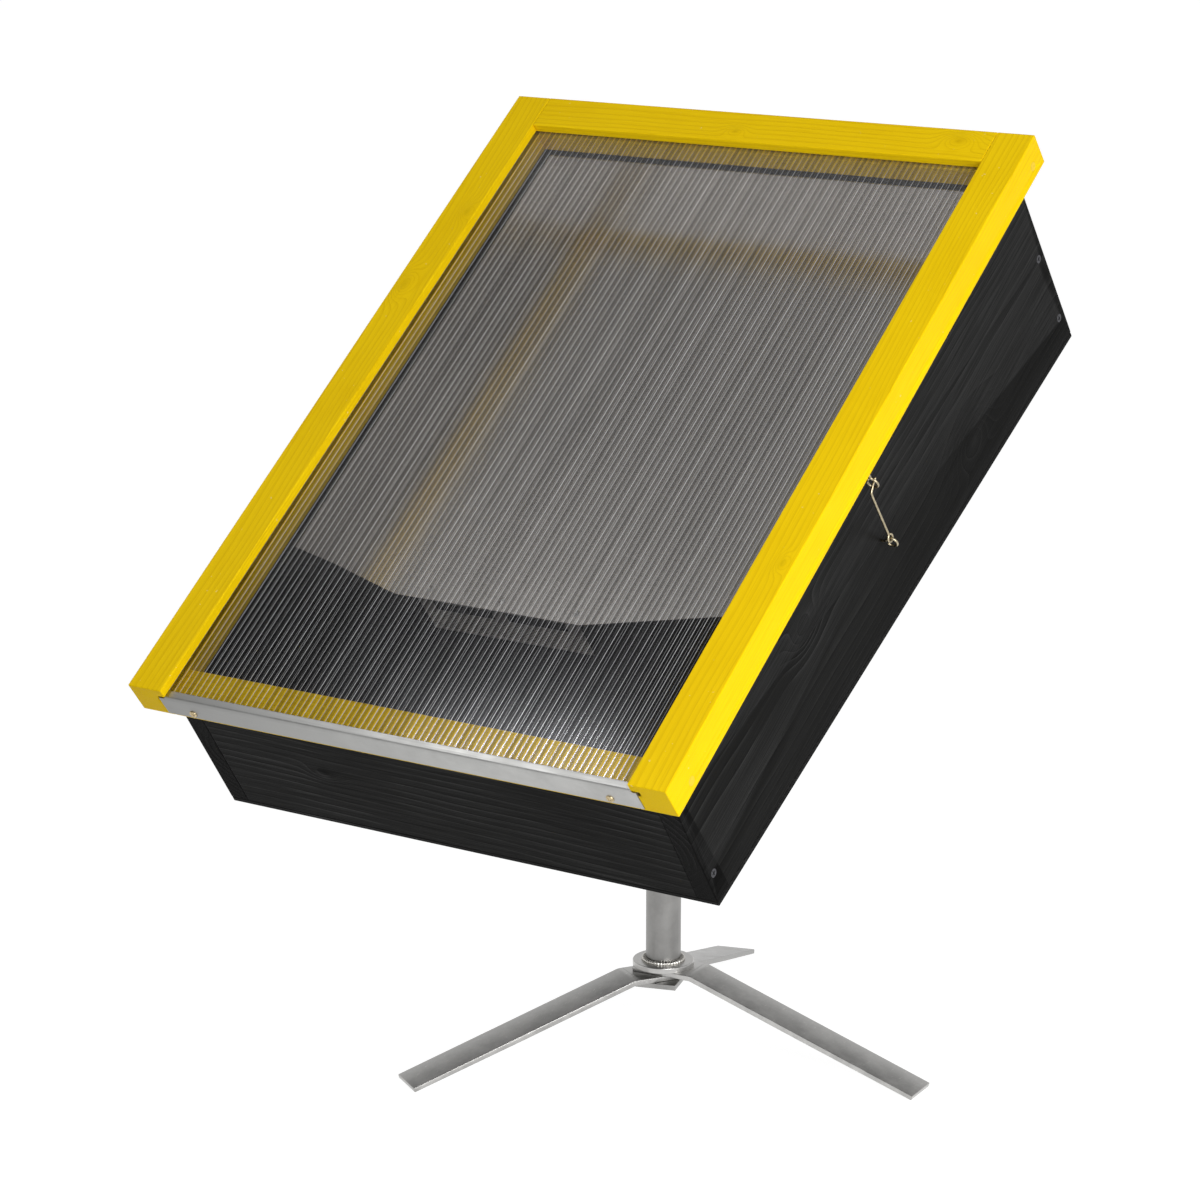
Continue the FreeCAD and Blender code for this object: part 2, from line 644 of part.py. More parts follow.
def hinge_bore(middle):
    axis_x, axis_z = hinge_axis()
    return Part.makeCylinder(HINGE_PIN_RADIUS + HINGE_PIN_PLAY, HINGE_LENGTH,
                             vec(axis_x, middle - HINGE_LENGTH / 2, axis_z), UPSLOPE)


def hinge_gaps(middle, kept):
    """Room around the other leaf's knuckles."""
    axis_x, axis_z = hinge_axis()
    pitch = HINGE_LENGTH / HINGE_KNUCKLES
    reach = HINGE_KNUCKLE_RADIUS + 2 * HINGE_KNUCKLE_PLAY
    gaps = []
    for index in range(HINGE_KNUCKLES):
        if index % 2 != kept:
            y0 = middle - HINGE_LENGTH / 2 + index * pitch
            gaps.append(block(axis_x - reach, axis_x + reach, y0 - HINGE_KNUCKLE_PLAY / 2,
                              y0 + pitch + HINGE_KNUCKLE_PLAY / 2, axis_z - reach, axis_z + reach))
    return gaps


def box_leaf(middle, holes):
    """Hinge leaf on the side board, with the outer and middle knuckles."""
    axis_x, axis_z = hinge_axis()
    leaf = block(-BOX_HALF - HINGE_LEAF, -BOX_HALF, middle - HINGE_LENGTH / 2, middle + HINGE_LENGTH / 2,
                 axis_z - HINGE_LEAF_WIDTH, axis_z)
    web = block(axis_x, -BOX_HALF - HINGE_LEAF / 2, middle - HINGE_LENGTH / 2, middle + HINGE_LENGTH / 2,
                axis_z - HINGE_KNUCKLE_RADIUS, axis_z - HINGE_KNUCKLE_RADIUS + HINGE_LEAF)
    leaf = leaf.fuse(web)
    leaf = cut_away(leaf, hinge_gaps(middle, 0) + holes)
    knuckles = [hinge_knuckle(middle, index) for index in range(0, HINGE_KNUCKLES, 2)]
    return joined([leaf] + knuckles).cut(hinge_bore(middle))


def lid_leaf(middle, holes):
    """Hinge leaf under the lid's overhang, with the two knuckles between."""
    axis_x, axis_z = hinge_axis()
    leaf = block(axis_x - HINGE_LID_LEAF_WIDTH, axis_x, middle - HINGE_LENGTH / 2, middle + HINGE_LENGTH / 2,
                 -LID_THICKNESS - HINGE_LEAF, -LID_THICKNESS)
    leaf = cut_away(leaf, hinge_gaps(middle, 1) + holes)
    knuckles = [hinge_knuckle(middle, index) for index in range(1, HINGE_KNUCKLES, 2)]
    return joined([leaf] + knuckles).cut(hinge_bore(middle))


def hinge_pin(middle):
    axis_x, axis_z = hinge_axis()
    overrun = 1.0
    start = vec(axis_x, middle - HINGE_LENGTH / 2 - overrun, axis_z)
    return Part.makeCylinder(HINGE_PIN_RADIUS, HINGE_LENGTH + 2 * overrun, start, UPSLOPE)


def hook_pivot():
    return vec(BOX_HALF + HOOK_OUT, HOOK_SLOPE_PLACE, -HOOK_PIVOT_DEPTH)


def screw_eye(centre, shank_end):
    """Ring with a shank: the ring's hole runs along the slope."""
    ring = Part.makeTorus(EYE_RADIUS, WIRE_DIAMETER / 2, centre, UPSLOPE)
    toward = shank_end.sub(centre).normalize()
    shank = rod(WIRE_DIAMETER / 2, centre + toward * EYE_RADIUS, shank_end)
    return joined([ring, shank])


def side_eye():
    """Screw eye in the side board that carries the hook."""
    pivot = hook_pivot()
    centre = vec(pivot.x, pivot.y, pivot.z - EYE_RADIUS)
    return screw_eye(centre, vec(BOX_HALF - EYE_SHANK, centre.y, centre.z))


def lid_eye():
    """Screw eye under the lid's overhang that takes the hook's tip."""
    pivot = hook_pivot()
    centre = vec(pivot.x, pivot.y + LID_EYE_AHEAD, -LID_EYE_DEPTH)
    return screw_eye(centre, vec(centre.x, centre.y, -LID_THICKNESS + EYE_SHANK))


def eye_hole(start, direction):
    return Part.makeCylinder(WIRE_DIAMETER / 2 + SCREW_PLAY, EYE_SHANK + SCREW_PLAY, start, direction)


def latch_hook():
    """Wire hook: a closed eye about the side eye's ring, a straight shank and a slanted tip."""
    pivot = hook_pivot()
    ring = Part.makeTorus(HOOK_EYE_RADIUS, WIRE_DIAMETER / 2, pivot, RIGHT)
    foot = vec(pivot.x, pivot.y, pivot.z + HOOK_EYE_RADIUS)
    kink = vec(pivot.x, pivot.y + HOOK_KINK_AHEAD, -HOOK_KINK_DEPTH)
    tip = vec(pivot.x, kink.y + HOOK_TIP_RUN, kink.z + HOOK_TIP_RISE)
    shank = bent_wire([foot, kink, tip], HOOK_BEND_RADIUS, WIRE_DIAMETER)
    return joined([ring, shank])


def leg(azimuth, reach, tail, layer):
    """Flat bar that lies level under the hub and is bent down to the floor."""
    top = FLANGE_TOP - FLANGE_THICKNESS - layer * LEG_BAR
    run = reach - LEG_BEND_RADIUS
    slope = math.atan2(top - LEG_BAR, run)
    for _ in range(8):
        drop = top + FOOT_FLAT - LEG_BAR * math.cos(slope)
        slope = math.atan2(drop, run)
    half_bend = math.tan(slope / 2) * LEG_BAR
    end_x = reach
    end_z = top - run * math.tan(slope)
    under_x = end_x - LEG_BAR * math.sin(slope)
    under_z = end_z - LEG_BAR * math.cos(slope)
    profile = [vec(-tail, 0, top), vec(LEG_BEND_RADIUS, 0, top), vec(end_x, 0, end_z),
               vec(under_x, 0, under_z), vec(LEG_BEND_RADIUS - half_bend, 0, top - LEG_BAR),
               vec(-tail, 0, top - LEG_BAR)]
    bar = outline_face(profile).extrude(vec(0, LEG_WIDTH, 0))
    bar.translate(vec(0, -LEG_WIDTH / 2, 0))
    below_floor = block(-tail - 1, reach + 1, -LEG_WIDTH, LEG_WIDTH, -10, 0)
    bolt_hole = Part.makeCylinder(HUB_BOLT_DIAMETER / 2 + BOLT_PLAY, LEG_BAR, vec(0, 0, top - LEG_BAR))
    bar = cut_away(bar, [below_floor, bolt_hole])
    bar.rotate(vec(0, 0, 0), OUT, azimuth)
    return bar


def hub_flange():
    disc = Part.makeCylinder(FLANGE_DIAMETER / 2, FLANGE_THICKNESS, vec(0, 0, FLANGE_TOP - FLANGE_THICKNESS))
    edge = [e for e in disc.Edges if abs(e.BoundBox.ZMin - FLANGE_TOP) < 0.01 and e.BoundBox.ZLength < 0.01]
    disc = disc.makeFillet(0.8, edge)
    bore = Part.makeCylinder(HUB_BOLT_DIAMETER / 2 + BOLT_PLAY, FLANGE_THICKNESS,
                             vec(0, 0, FLANGE_TOP - FLANGE_THICKNESS))
    return disc.cut(bore)


def post():
    outer = Part.makeCylinder(POST_DIAMETER / 2, POST_LENGTH, vec(0, 0, FLANGE_TOP))
    return outer.cut(Part.makeCylinder(POST_DIAMETER / 2 - POST_WALL, POST_LENGTH, vec(0, 0, FLANGE_TOP)))


def post_weld():
    """Round bead in the corner between the post and the flange."""
    radius = POST_DIAMETER / 2
    swell = WELD_LEG * 0.62
    corner = vec(radius, 0, FLANGE_TOP)
    foot = vec(radius + WELD_LEG, 0, FLANGE_TOP)
    crest = vec(radius + swell, 0, FLANGE_TOP + swell)
    head = vec(radius, 0, FLANGE_TOP + WELD_LEG)
    wire = Part.Wire([Part.LineSegment(corner, foot).toShape(), Part.Arc(foot, crest, head).toShape(),
                      Part.LineSegment(head, corner).toShape()])
    return Part.Face(wire).revolve(vec(0, 0, 0), OUT, 360)


def hexagon(flats, height, z):
    """Hexagonal prism about the pole's axis."""
    radius = flats / math.sqrt(3)
    points = [(radius * math.cos(math.radians(60 * k)), radius * math.sin(math.radians(60 * k))) for k in range(6)]
    return flat_plate(points, z, z + height)


def hub_bolt():
    """Bolt up through the three bars and the flange."""
    length = 3 * LEG_BAR + FLANGE_THICKNESS + HUB_NUT_HEIGHT + HUB_BOLT_TAIL
    head = hexagon(HUB_BOLT_FLATS, HUB_BOLT_HEAD, HUB_CLEARANCE - HUB_BOLT_HEAD)
    return joined([head, Part.makeCylinder(HUB_BOLT_DIAMETER / 2, length, vec(0, 0, HUB_CLEARANCE))])


def hub_nut():
    nut = hexagon(HUB_BOLT_FLATS, HUB_NUT_HEIGHT, FLANGE_TOP)
    return nut.cut(Part.makeCylinder(HUB_BOLT_DIAMETER / 2 + BOLT_PLAY, HUB_NUT_HEIGHT, vec(0, 0, FLANGE_TOP)))


def to_world():
    """Placement that stands the lid frame up on the swivel plate."""
    anchor_y, anchor_z = bottom_point(PLATE_ALONG_BOTTOM, 0)
    turn = FreeCAD.Placement(vec(0, 0, 0), FreeCAD.Rotation(vec(1, 0, 0), LID_TILT_DEG))
    centre = FreeCAD.Placement(vec(0, -anchor_y, -anchor_z), FreeCAD.Rotation())
    lift = FreeCAD.Placement(vec(0, 0, ANCHOR_Z), FreeCAD.Rotation())
    return lift.multiply(turn).multiply(centre)


def swivel_socket(world):
    """Tube that turns on the post, cut at the top to the plate's slope."""
    inner = POST_DIAMETER / 2 + SOCKET_PLAY
    outer = inner + SOCKET_WALL
    low = POST_TOP - SOCKET_OVERLAP
    height = ANCHOR_Z + 2 * POST_DIAMETER - low
    tube = Part.makeCylinder(outer, height, vec(0, 0, low))
    above = on_bottom(block(-BOX_HALF, BOX_HALF, 0, BOX_BOTTOM_LENGTH, -PLATE_THICKNESS, 3 * BOX_FRONT_DEPTH))
    tube = tube.cut(Part.makeCylinder(inner, height, vec(0, 0, low)))
    return tube.cut(moved(above, world))


def socket_stop():
    """Disc fixed in the socket that bears on the post's end."""
    return Part.makeCylinder(POST_DIAMETER / 2 + SOCKET_PLAY, SOCKET_STOP, vec(0, 0, POST_TOP))


def build():
    """Every piece by its name, in its place."""
    nodes = {}
    world = to_world()

    def add(name, *solids):
        nodes[name] = [moved(solid, world) for solid in solids]

    strip_screws, strip_holes = screw_set(strip_screw_places(), STRIP_SCREW)
    frame_screws, _ = screw_set(frame_screw_places(), FRAME_SCREW)
    frame_holes = [screw_hole(head, into, FRAME_SCREW, FRAME_SCREW_SINK) for head, into in frame_screw_places()]
    board_screws, board_holes = screw_set(board_screw_places(), SIDE_SCREW)
    plate_screws, plate_holes = screw_set(plate_screw_places(), PLATE_SCREW)
    hinge_rows = [hinge_leaf_screws(middle) for middle in hinge_middles()]
    box_hinge_screws, box_hinge_holes = screw_set([place for row in hinge_rows for place in row[0]], HINGE_SCREW)
    lid_hinge_screws, lid_hinge_holes = screw_set([place for row in hinge_rows for place in row[1]], HINGE_SCREW)
    pivot = hook_pivot()
    side_eye_hole = eye_hole(vec(BOX_HALF, pivot.y, pivot.z - EYE_RADIUS), LEFT)
    lid_eye_hole = eye_hole(vec(pivot.x, pivot.y + LID_EYE_AHEAD, -LID_THICKNESS), OUT)

    add("lid_stile_left", stile(-1, frame_holes + lid_hinge_holes))
    add("lid_stile_right", stile(1, frame_holes + [lid_eye_hole]))
    add("lid_top_rail", top_rail(frame_holes))
    add("lid_bottom_rail", bottom_rail(frame_holes + strip_holes))
    add("glazing_sheet", glazing())
    add("edge_strip", edge_strip(strip_holes))
    add("strip_screws", *strip_screws)
    add("lid_corner_screws", *frame_screws)
    add("screw_fillers", *screw_fillers())
    add("lid_eye", lid_eye())
    add("hinge_lid_leaves", *[lid_leaf(middle, lid_hinge_holes) for middle in hinge_middles()])
    add("hinge_lid_screws", *lid_hinge_screws)

    for side, name in ((-1, "left"), (1, "right")):
        rail_screws, rail_holes = screw_set(rail_screw_places(side), RAIL_SCREW, False)
        extra = box_hinge_holes if side < 0 else [side_eye_hole]
        add("side_board_" + name, side_board(side, board_holes + rail_holes + extra))
        add("tray_rail_" + name, tray_rail(side, rail_holes))
        add("tray_rail_screws_" + name, *rail_screws)
    add("front_board", front_board(board_holes))
    add("rear_board", rear_board(board_holes))
    add("board_screws", *board_screws)
    add("bottom_panel", bottom_panel([on_bottom(hole) for hole in plate_holes]))
    add("mount_board", mount_board(plate_holes))
    add("swivel_plate", swivel_plate(plate_holes))
    add("plate_screws", *[on_bottom(one) for one in plate_screws])
    add("melting_tray", melting_tray([rivet_hole(x, y) for x, y in rivet_places()]))
    add("strainer", strainer([rivet_hole(x, y) for x, y in rivet_places()]))
    add("strainer_rivets", *[rivet(x, y) for x, y in rivet_places()])
    add("wax_pan", wax_pan())
    add("side_eye", side_eye())
    add("hinge_box_leaves", *[box_leaf(middle, box_hinge_holes) for middle in hinge_middles()])
    add("hinge_box_screws", *box_hinge_screws)
    add("hinge_pins", *[hinge_pin(middle) for middle in hinge_middles()])
    add("latch_hook", latch_hook())

    nodes["swivel_socket"] = [swivel_socket(world)]
    nodes["socket_stop"] = [socket_stop()]
    nodes["post"] = [post()]
    nodes["post_weld"] = [post_weld()]
    nodes["hub_flange"] = [hub_flange()]
    nodes["leg_right"] = [leg(LEG_RIGHT_AZIMUTH, LEG_RIGHT_REACH, LEG_RIGHT_TAIL, 0)]
    nodes["leg_left"] = [leg(LEG_LEFT_AZIMUTH, LEG_LEFT_REACH, LEG_LEFT_TAIL, 1)]
    nodes["leg_back"] = [leg(LEG_BACK_AZIMUTH, LEG_BACK_REACH, LEG_BACK_TAIL, 2)]
    nodes["hub_bolt"] = [hub_bolt()]
    nodes["hub_nut"] = [hub_nut()]
    return nodes


def shape_of(solids):
    return solids[0] if len(solids) == 1 else Part.makeCompound(solids)


def centre_on_floor(nodes):
    """Move every piece so that the origin is the middle of the whole part's footprint."""
    boxes = [shape_of(solids).BoundBox for solids in nodes.values()]
    shift_x = -(min(b.XMin for b in boxes) + max(b.XMax for b in boxes)) / 2
    shift_y = -(min(b.YMin for b in boxes) + max(b.YMax for b in boxes)) / 2
    for solids in nodes.values():
        for solid in solids:
            solid.translate(vec(shift_x, shift_y, 0))
    return shift_x, shift_y


def report(nodes, shift):
    """Print the places that the joints, mounts and openings need."""
    world = FreeCAD.Placement(vec(shift[0], shift[1], 0), FreeCAD.Rotation()).multiply(to_world())
    axis_x, axis_z = hinge_axis()
    print("pole axis", shift)
    print("lid hinge point", world.multVec(vec(axis_x, 0, axis_z)))
    print("hook pivot", world.multVec(hook_pivot()))
    print("lid centre", world.multVec(vec(0, 0, 0)))
    for name, solids in nodes.items():
        shape = shape_of(solids)
        box = shape.BoundBox
        print("%-24s %2d solids %s vol %.0f  x %.1f %.1f  y %.1f %.1f  z %.1f %.1f" % (
            name, len(shape.Solids), "valid" if shape.isValid() else "INVALID", shape.Volume,
            box.XMin, box.XMax, box.YMin, box.YMax, box.ZMin, box.ZMax))


nodes = build()
shift = centre_on_floor(nodes)
os.makedirs("parts", exist_ok=True)
for name, solids in nodes.items():
    shape_of(solids).exportStep("parts/" + name + ".step")
report(nodes, shift)
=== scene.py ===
import json
import math

import bmesh
import bpy
import numpy as np
from bpy.props import FloatProperty, FloatVectorProperty, IntProperty, PointerProperty
from bpy.types import Operator, Panel, PropertyGroup
from mathutils import Matrix, Vector


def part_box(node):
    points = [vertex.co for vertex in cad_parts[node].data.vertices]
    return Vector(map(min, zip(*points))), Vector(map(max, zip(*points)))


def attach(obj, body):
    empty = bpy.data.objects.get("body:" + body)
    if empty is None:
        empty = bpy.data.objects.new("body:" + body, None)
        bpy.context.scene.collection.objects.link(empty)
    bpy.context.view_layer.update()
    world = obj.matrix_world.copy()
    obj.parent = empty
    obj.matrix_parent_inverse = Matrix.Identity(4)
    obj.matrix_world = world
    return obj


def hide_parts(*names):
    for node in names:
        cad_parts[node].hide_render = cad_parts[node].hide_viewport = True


bl_info = {
    "name": "Solar wax melter",
    "version": (1, 0, 0),
    "blender": (4, 5, 0),
    "location": "View3D > Sidebar > Wax melter",
    "description": "Dresses the wax melter: painted timber, ribbed glazing, steel stand, tray and studio",
    "category": "Object",
}

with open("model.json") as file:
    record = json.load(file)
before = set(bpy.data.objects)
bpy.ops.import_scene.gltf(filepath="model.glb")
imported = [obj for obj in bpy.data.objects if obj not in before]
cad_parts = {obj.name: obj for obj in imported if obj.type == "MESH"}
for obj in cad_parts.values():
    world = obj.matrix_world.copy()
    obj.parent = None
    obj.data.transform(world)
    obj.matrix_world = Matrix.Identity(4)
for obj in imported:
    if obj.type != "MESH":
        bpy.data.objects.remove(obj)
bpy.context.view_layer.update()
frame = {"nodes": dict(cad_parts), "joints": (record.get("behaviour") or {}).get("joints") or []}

# The lid's own axes: u across to the right, v up the slope, n out of its face, zero at its middle
lid_joint = next(joint for joint in frame["joints"] if joint["name"] == "lid_hinge")
TILT = math.atan2(-lid_joint["axis"][2], -lid_joint["axis"][1])
U_AXIS = np.array((1.0, 0.0, 0.0))
V_AXIS = np.array((0.0, math.cos(TILT), math.sin(TILT)))
N_AXIS = np.array((0.0, -math.sin(TILT), math.cos(TILT)))
LID_MIDDLE = np.array((0.0, -0.060761, 0.613994))
POLE = np.array((0.0, 0.064249, 0.0))
POLE_RADIUS = 0.016

# Sheet metal of the folded strip and of the strainer
SHEET = 0.001


def lid_points(u, v, n):
    """World points of lid coordinates: middle + u * U + v * V + n * N."""
    u, v, n = np.broadcast_arrays(np.asarray(u, float), np.asarray(v, float), np.asarray(n, float))
    return LID_MIDDLE + u[..., None] * U_AXIS + v[..., None] * V_AXIS + n[..., None] * N_AXIS


# Mesh work


def linked(name, data):
    """New object in the scene."""
    piece = bpy.data.objects.new(name, data)
    bpy.context.scene.collection.objects.link(piece)
    return piece


def mesh_piece(name, points, faces, body, node, slot, smooth=True, sharp=None):
    """New object from points and faces, that rides on a body and stands for a CAD node."""
    mesh = bpy.data.meshes.new(name)
    mesh.from_pydata([tuple(p) for p in points], [], [tuple(f) for f in faces])
    mesh.validate()
    piece = linked(name, mesh)
    mesh.polygons.foreach_set("use_smooth", np.full(len(mesh.polygons), smooth))
    if sharp is not None:
        mesh.set_sharp_from_angle(angle=math.radians(sharp))
    mesh.update()
    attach(piece, body)
    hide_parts(node)
    return piece


def tube_grid(stations, around, closed=False, caps=True):
    """Faces of a grid of stations by points around: quads between stations, and a fan at each end."""
    i, j = np.meshgrid(np.arange(stations if closed else stations - 1), np.arange(around), indexing="ij")
    a = i * around + j
    b = i * around + (j + 1) % around
    c = ((i + 1) % stations) * around + (j + 1) % around
    d = ((i + 1) % stations) * around + j
    faces = np.stack((a, b, c, d), axis=-1).reshape(-1, 4).tolist()
    if caps and not closed:
        faces.append(list(range(around))[::-1])
        faces.append([(stations - 1) * around + k for k in range(around)])
    return faces


def rounded_rectangle(width, height, radius, steps=4):
    """Outline points: four quarter circles of one radius at the corners of a rectangle, anticlockwise."""
    turn = np.linspace(0, math.pi / 2, steps + 1)
    corners = []
    for k, (cx, cy) in enumerate(((1, 1), (-1, 1), (-1, -1), (1, -1))):
        angle = turn + k * math.pi / 2
        x = cx * (width / 2 - radius) + radius * np.cos(angle)
        y = cy * (height / 2 - radius) + radius * np.sin(angle)
        corners.append(np.stack((x, y), axis=-1))
    return np.concatenate(corners)


def wire_tube(path, radius, around, thread=None):
    """Round wire along a path: a circle carried square to the path with the least twist. A thread
    (start, end, pitch, depth) adds depth * sin(angle - 2 pi * length / pitch) between two lengths, and
    the ends are rounded by sqrt(1 - t * t) over their last radius."""
    ahead = np.gradient(path, axis=0)
    ahead /= np.linalg.norm(ahead, axis=1)[:, None]
    side = np.zeros_like(path)
    start = np.cross(ahead[0], (0.3, 0.5, 0.81))
    side[0] = start / np.linalg.norm(start)
    for k in range(1, len(path)):
        s = side[k - 1] - ahead[k] * np.dot(side[k - 1], ahead[k])
        side[k] = s / np.linalg.norm(s)
    up = np.cross(ahead, side)
    angle = np.linspace(0, 2 * math.pi, around, endpoint=False)
    run = np.concatenate(((0.0,), np.cumsum(np.linalg.norm(np.diff(path, axis=0), axis=1))))
    size = np.full((len(path), around), radius)
    if thread:
        begin, end, pitch, depth = thread
        held = ((run >= begin) & (run <= end))[:, None]
        size = size + held * depth * np.sin(angle[None, :] - 2 * math.pi * run[:, None] / pitch)
    near = np.minimum(run, run[-1] - run)
    short = np.clip(1 - near / radius, 0, 1)
    size = size * np.maximum(0.2, np.sqrt(1 - short ** 2))[:, None]
    points = (path[:, None, :] + (size * np.cos(angle))[..., None] * side[:, None, :]
              + (size * np.sin(angle))[..., None] * up[:, None, :])
    return points.reshape(-1, 3), tube_grid(len(path), around)


def smoothed(corners, spacing, passes):
    """Evenly spaced points along corners, whose bends are rounded by averaging each with its neighbours."""
    corners = np.asarray(corners, float)
    run = np.concatenate(((0.0,), np.cumsum(np.linalg.norm(np.diff(corners, axis=0), axis=1))))
    even = np.linspace(0, run[-1], max(4, int(run[-1] / spacing)))
    path = np.stack([np.interp(even, run, corners[:, k]) for k in range(3)], axis=-1)
    for _ in range(passes):
        path[1:-1] = 0.25 * path[:-2] + 0.5 * path[1:-1] + 0.25 * path[2:]
    return path


def eased(node, body, width, shortest=0.0042):
    """Copy of a CAD node whose long edges are rounded: merged first, then a weighted bevel."""
    mesh = frame["nodes"][node].data.copy()
    mesh.name = node + "_eased"
    work = bmesh.new()
    work.from_mesh(mesh)
    bmesh.ops.remove_doubles(work, verts=work.verts, dist=2e-6)
    bmesh.ops.dissolve_limit(work, angle_limit=math.radians(0.5), verts=work.verts, edges=work.edges)
    layers = work.edges.layers.float
    weight = layers.get("bevel_weight_edge") or layers.new("bevel_weight_edge")
    for edge in work.edges:
        turned = len(edge.link_faces) == 2 and edge.calc_face_angle(0.0) > math.radians(30)
        edge[weight] = 1.0 if turned and edge.calc_length() > shortest else 0.0
    work.to_mesh(mesh)
    work.free()
    piece = linked(node + "_eased", mesh)
    bevel = piece.modifiers.new("eased_edges", "BEVEL")
    bevel.width = width
    bevel.segments = 3
    bevel.limit_method = "WEIGHT"
    bevel.use_clamp_overlap = False
    bevel.harden_normals = True
    mesh.polygons.foreach_set("use_smooth", np.full(len(mesh.polygons), True))
    mesh.set_sharp_from_angle(angle=math.radians(35))
    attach(piece, body)
    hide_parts(node)
    return piece


def joined_parts(parts):
    """One list of points and faces from several."""
    points = []
    faces = []
    count = 0
    for some_points, some_faces in parts:
        some_points = np.asarray(some_points).reshape(-1, 3)
        points.append(some_points)
        faces.extend([[index + count for index in face] for face in some_faces])
        count += len(some_points)
    return np.concatenate(points), faces


def outward(piece):
    """Turn every face of a closed piece outwards."""
    work = bmesh.new()
    work.from_mesh(piece.data)
    bmesh.ops.remove_doubles(work, verts=work.verts, dist=1e-6)
    bmesh.ops.recalc_face_normals(work, faces=work.faces)
    work.to_mesh(piece.data)
    work.free()
    piece.data.update()
    return piece


def closed_piece(name, parts, body, node, slot, material, **shading):
    """New piece from closed parts, with its faces outwards and its finish."""
    coat(outward(mesh_piece(name, *joined_parts(parts), body, node, slot, **shading)), material)


# Finishes


class Value:
    """One output of a shader node. The signs + - * / and ** between values and numbers make math nodes."""

    def __init__(self, nodes, node, key=0):
        self.nodes = nodes
        self.node = node
        self.key = key

    def output(self, key):
        """Another output of the same node."""
        return Value(self.nodes, self.node, key)

    def __add__(self, other):
        return self.nodes.math("ADD", self, other)

    def __sub__(self, other):
        return self.nodes.math("SUBTRACT", self, other)

    def __rsub__(self, other):
        return self.nodes.math("SUBTRACT", other, self)

    def __mul__(self, other):
        return self.nodes.math("MULTIPLY", self, other)

    def __truediv__(self, other):
        return self.nodes.math("DIVIDE", self, other)

    def __pow__(self, other):
        return self.nodes.math("POWER", self, other)


class Nodes:
    """A node tree, with short calls that add nodes and join them."""

    def __init__(self, tree):
        self.tree = tree
        self.tree.nodes.clear()

    def add(self, kind, inputs=None, **settings):
        """New node with its settings, and with values and links for its inputs. Gives its first output."""
        node = self.tree.nodes.new(kind)
        for key, value in settings.items():
            setattr(node, key, value)
        for key, value in (inputs or {}).items():
            if isinstance(value, Value):
                self.tree.links.new(value.node.outputs[value.key], node.inputs[key])
            else:
                node.inputs[key].default_value = value
        return Value(self, node)

    def math(self, operation, a, b=0.0):
        return self.add("ShaderNodeMath", {0: a, 1: b}, operation=operation)

    def split(self, vector):
        """The three parts of a vector."""
        first = self.add("ShaderNodeSeparateXYZ", {0: vector})
        return [first.output(part) for part in range(3)]

    def joined(self, x, y, z):
        return self.add("ShaderNodeCombineXYZ", {0: x, 1: y, 2: z})

    def shared(self, share, first, second):
        """Shader between two shaders."""
        return self.add("ShaderNodeMixShader", {0: share, 1: first, 2: second})

    def seen_directly(self, share=1.0):
        """1 for rays from the camera, and a share for rays in gloss and through glass."""
        ray = self.add("ShaderNodeLightPath")
        mirrored = self.math("MAXIMUM", ray.output("Is Glossy Ray"), ray.output("Is Transmission Ray"))
        return self.math("MAXIMUM", ray.output("Is Camera Ray"), mirrored * share)


class Finish(Nodes):
    """A material and its nodes. Its patterns read the piece's own coordinates."""

    def __init__(self, name):
        self.material = bpy.data.materials.new(name)
        self.material.use_nodes = True
        super().__init__(self.material.node_tree)
        self.place = self.add("ShaderNodeTexCoord").output("Object")

    def mapped(self, scale=(1, 1, 1), turn=(0, 0, 0), shift=(0, 0, 0), source=None):
        inputs = {"Vector": source or self.place, "Scale": scale, "Rotation": turn, "Location": shift}
        return self.add("ShaderNodeMapping", inputs)

    def noise(self, vector, detail=3.0, rough=0.5):
        inputs = {"Vector": vector, "Scale": 1.0, "Detail": detail, "Roughness": rough}
        return self.add("ShaderNodeTexNoise", inputs)

    def cloud(self, scale, detail=3.0, rough=0.5):
        """Even noise, or noise with a scale for each axis."""
        return self.noise(self.mapped(scale if isinstance(scale, tuple) else (scale,) * 3), detail, rough)

    def span(self, value, low, high, to_low=0.0, to_high=1.0):
        """Soft step of a value from one level to another between two limits."""
        inputs = {"Value": value, 1: low, 2: high, 3: to_low, 4: to_high}
        return self.add("ShaderNodeMapRange", inputs, interpolation_type="SMOOTHSTEP")

    def mixed(self, amount, first, second):
        """Colour between two colours."""
        inputs = {0: amount}
        for index, colour in ((6, first), (7, second)):
            inputs[index] = colour if isinstance(colour, Value) else (*colour, 1.0)
        return self.add("ShaderNodeMix", inputs, data_type="RGBA").output(2)

    def bump(self, height, distance, strength=0.5, edge=None):
        """Raised surface, over edges that are rounded by a radius."""
        inputs = {"Height": height, "Distance": distance, "Strength": strength}
        if edge:
            inputs["Normal"] = self.add("ShaderNodeBevel", {"Radius": edge}, samples=4)
        return self.add("ShaderNodeBump", inputs)

    def done(self, shader):
        self.add("ShaderNodeOutputMaterial", {"Surface": shader})
        return self.material

    def painted(self, colour, roughness, normal, metallic=0.0, specular=0.5):
        """Finished material with one principled shader."""
        inputs = {"Base Color": colour, "Roughness": roughness, "Metallic": metallic, "Normal": normal,
                  "Specular IOR Level": specular}
        return self.done(self.add("ShaderNodeBsdfPrincipled", inputs))


def shade(colour, factor):
    """Colour times a factor, or times one for each channel, up to 1."""
    factors = factor if isinstance(factor, tuple) else (factor,) * 3
    return tuple(min(1.0, channel * k) for channel, k in zip(colour, factors))


